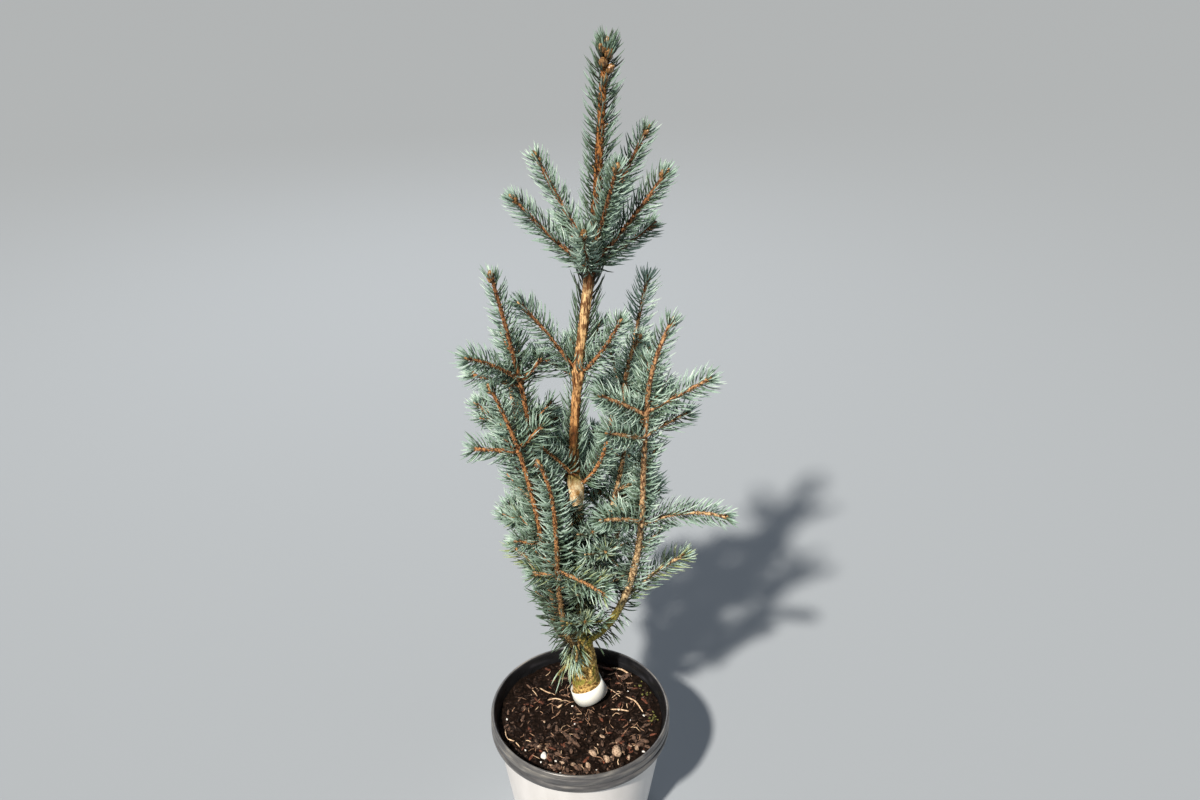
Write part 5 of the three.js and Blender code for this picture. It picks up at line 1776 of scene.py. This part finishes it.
# %% Moss and chunks of bark
MOSS_PATCHES = [(66, 45), (73, 34), (78, -1), (76, -8)]
MOSS_TUFTS = 7
MOSS_SPREAD = 3
MOSS_SIZES = (1.2, 2.8)
MOSS_CLEAR = 2
FRONT_CHUNKS = 52
FRONT_X = (-62, 68)
FRONT_Y = (-74, -30)
CHUNK_LENGTHS, CHUNK_WIDTH, CHUNK_THICKNESS = (5, 11), 0.6, 0.42
CHUNK_KINDS = ["brown", "brown", "chip", "sandstone"]
GRIT_SMALLER = 0.7
CHUNKS_CLEAR = 8

for place in MOSS_PATCHES:
    for x, y in rng.normal(place, MOSS_SPREAD, (MOSS_TUFTS, 2)):
        if math.hypot(x, y) < compost_reach - MOSS_CLEAR:
            litter_shapes.append(lump(x, y, rng.uniform(*MOSS_SIZES), "tuft"))
for _ in range(FRONT_CHUNKS):
    x, y = rng.uniform(*FRONT_X), rng.uniform(*FRONT_Y)
    is_free = all(math.hypot(x - grain[0], y - grain[1]) > grain[2] for grain in LUMPS)
    if is_free and math.hypot(x, y) < compost_reach - CHUNKS_CLEAR:
        kind = rng.choice(CHUNK_KINDS)
        length = rng.uniform(*CHUNK_LENGTHS) * (GRIT_SMALLER if kind == "sandstone" else 1)
        width, thickness = length * CHUNK_WIDTH, length * CHUNK_THICKNESS
        litter_shapes.append(chip(x, y, rng.uniform(*ANY_TURN), length, width, thickness, kind))
add_piece("compost_litter", litter_shapes, litter_materials, "compost")

# %% [markdown]
# The label is a strip of stiff coated paper, bent round the foot of the trunk and slipped down askew. It is
# blank. A plane could be wrapped on by a shrinkwrap modifier. Here it is a ring, a little wider at the
# bottom, tilted as one piece, and where the ring would run into the bark it is pushed out, as the trunk
# pushes the real one. Coated paper is smooth: it gives the eye the brightest white of the plant, a faint
# soft gloss, and edges that glow a little.

# %% Label
LABEL_PLACE = (11.2, 28.7, 137.9)
LABEL_HEIGHT = 15.7
LABEL_RADII = (19.0, 16.9)
LABEL_WALL = 0.7
LABEL_TILT = 23
LABEL_NOD = -10
LABEL_TAB = {"bearing": 30, "half_width": 13, "height": 6}
TAB_SLOPE = 3
LABEL_SIDES = 144
BARK_CLEARANCE = 1.3
# A paper fibre is about a millimetre long.
PAPER_FIBRE = 1.11

coated_paper = grained_material(
    "label_paper_coated",
    {"Base Color": linear("#f6f6ee"), "Roughness": 0.42, "Subsurface Weight": 0.08},
    PAPER_FIBRE, {"Detail": 3.0}, relief=(0.12, 0.2),
)
bearing = np.arange(LABEL_SIDES) * 360 / LABEL_SIDES
off_tab = np.abs(bearing - LABEL_TAB["bearing"]) / LABEL_TAB["half_width"]
top_edge = LABEL_HEIGHT + LABEL_TAB["height"] * np.clip(TAB_SLOPE - TAB_SLOPE * off_tab, 0, 1)
turn = np.radians(bearing)
tilt, nod = math.radians(-LABEL_TILT), math.radians(LABEL_NOD)
about_x = np.array([
    [1, 0, 0], [0, math.cos(nod), -math.sin(nod)], [0, math.sin(nod), math.cos(nod)],
])
about_y = np.array([
    [math.cos(tilt), 0, math.sin(tilt)], [0, 1, 0], [-math.sin(tilt), 0, math.cos(tilt)],
])
edges = []
for share, wall in ((1, 0), (0.5, 0), (0, 0), (0, 1), (0.5, 1), (1, 1)):
    radius = LABEL_RADII[0] + (LABEL_RADII[1] - LABEL_RADII[0]) * share + LABEL_WALL * wall
    ring = np.stack([radius * np.cos(turn), radius * np.sin(turn), top_edge * share], axis=1)
    ring = ring @ about_x.T @ about_y.T + LABEL_PLACE
    axis, bark = trunk_at(ring[:, 2])
    offset = (ring - axis)[:, :2]
    distance = np.linalg.norm(offset, axis=1)
    wanted = np.maximum(distance, bark + BARK_CLEARANCE + LABEL_WALL * wall)
    ring[:, :2] = axis[:, :2] + offset * (wanted / distance)[:, None]
    edges.append(ring)
corners = np.array(edges).reshape(-1, 3)
side = np.arange(LABEL_SIDES)
after = (side + 1) % LABEL_SIDES
faces = []
for edge in range(len(edges)):
    a, b = edge * LABEL_SIDES, (edge + 1) % len(edges) * LABEL_SIDES
    faces.append(np.stack([b + after, a + after, a + side], axis=1))
    faces.append(np.stack([b + side, b + after, a + side], axis=1))
strip = (corners, np.concatenate(faces), 0)
add_piece("label_strip", [strip], [coated_paper], "label", ["trunk_label"])
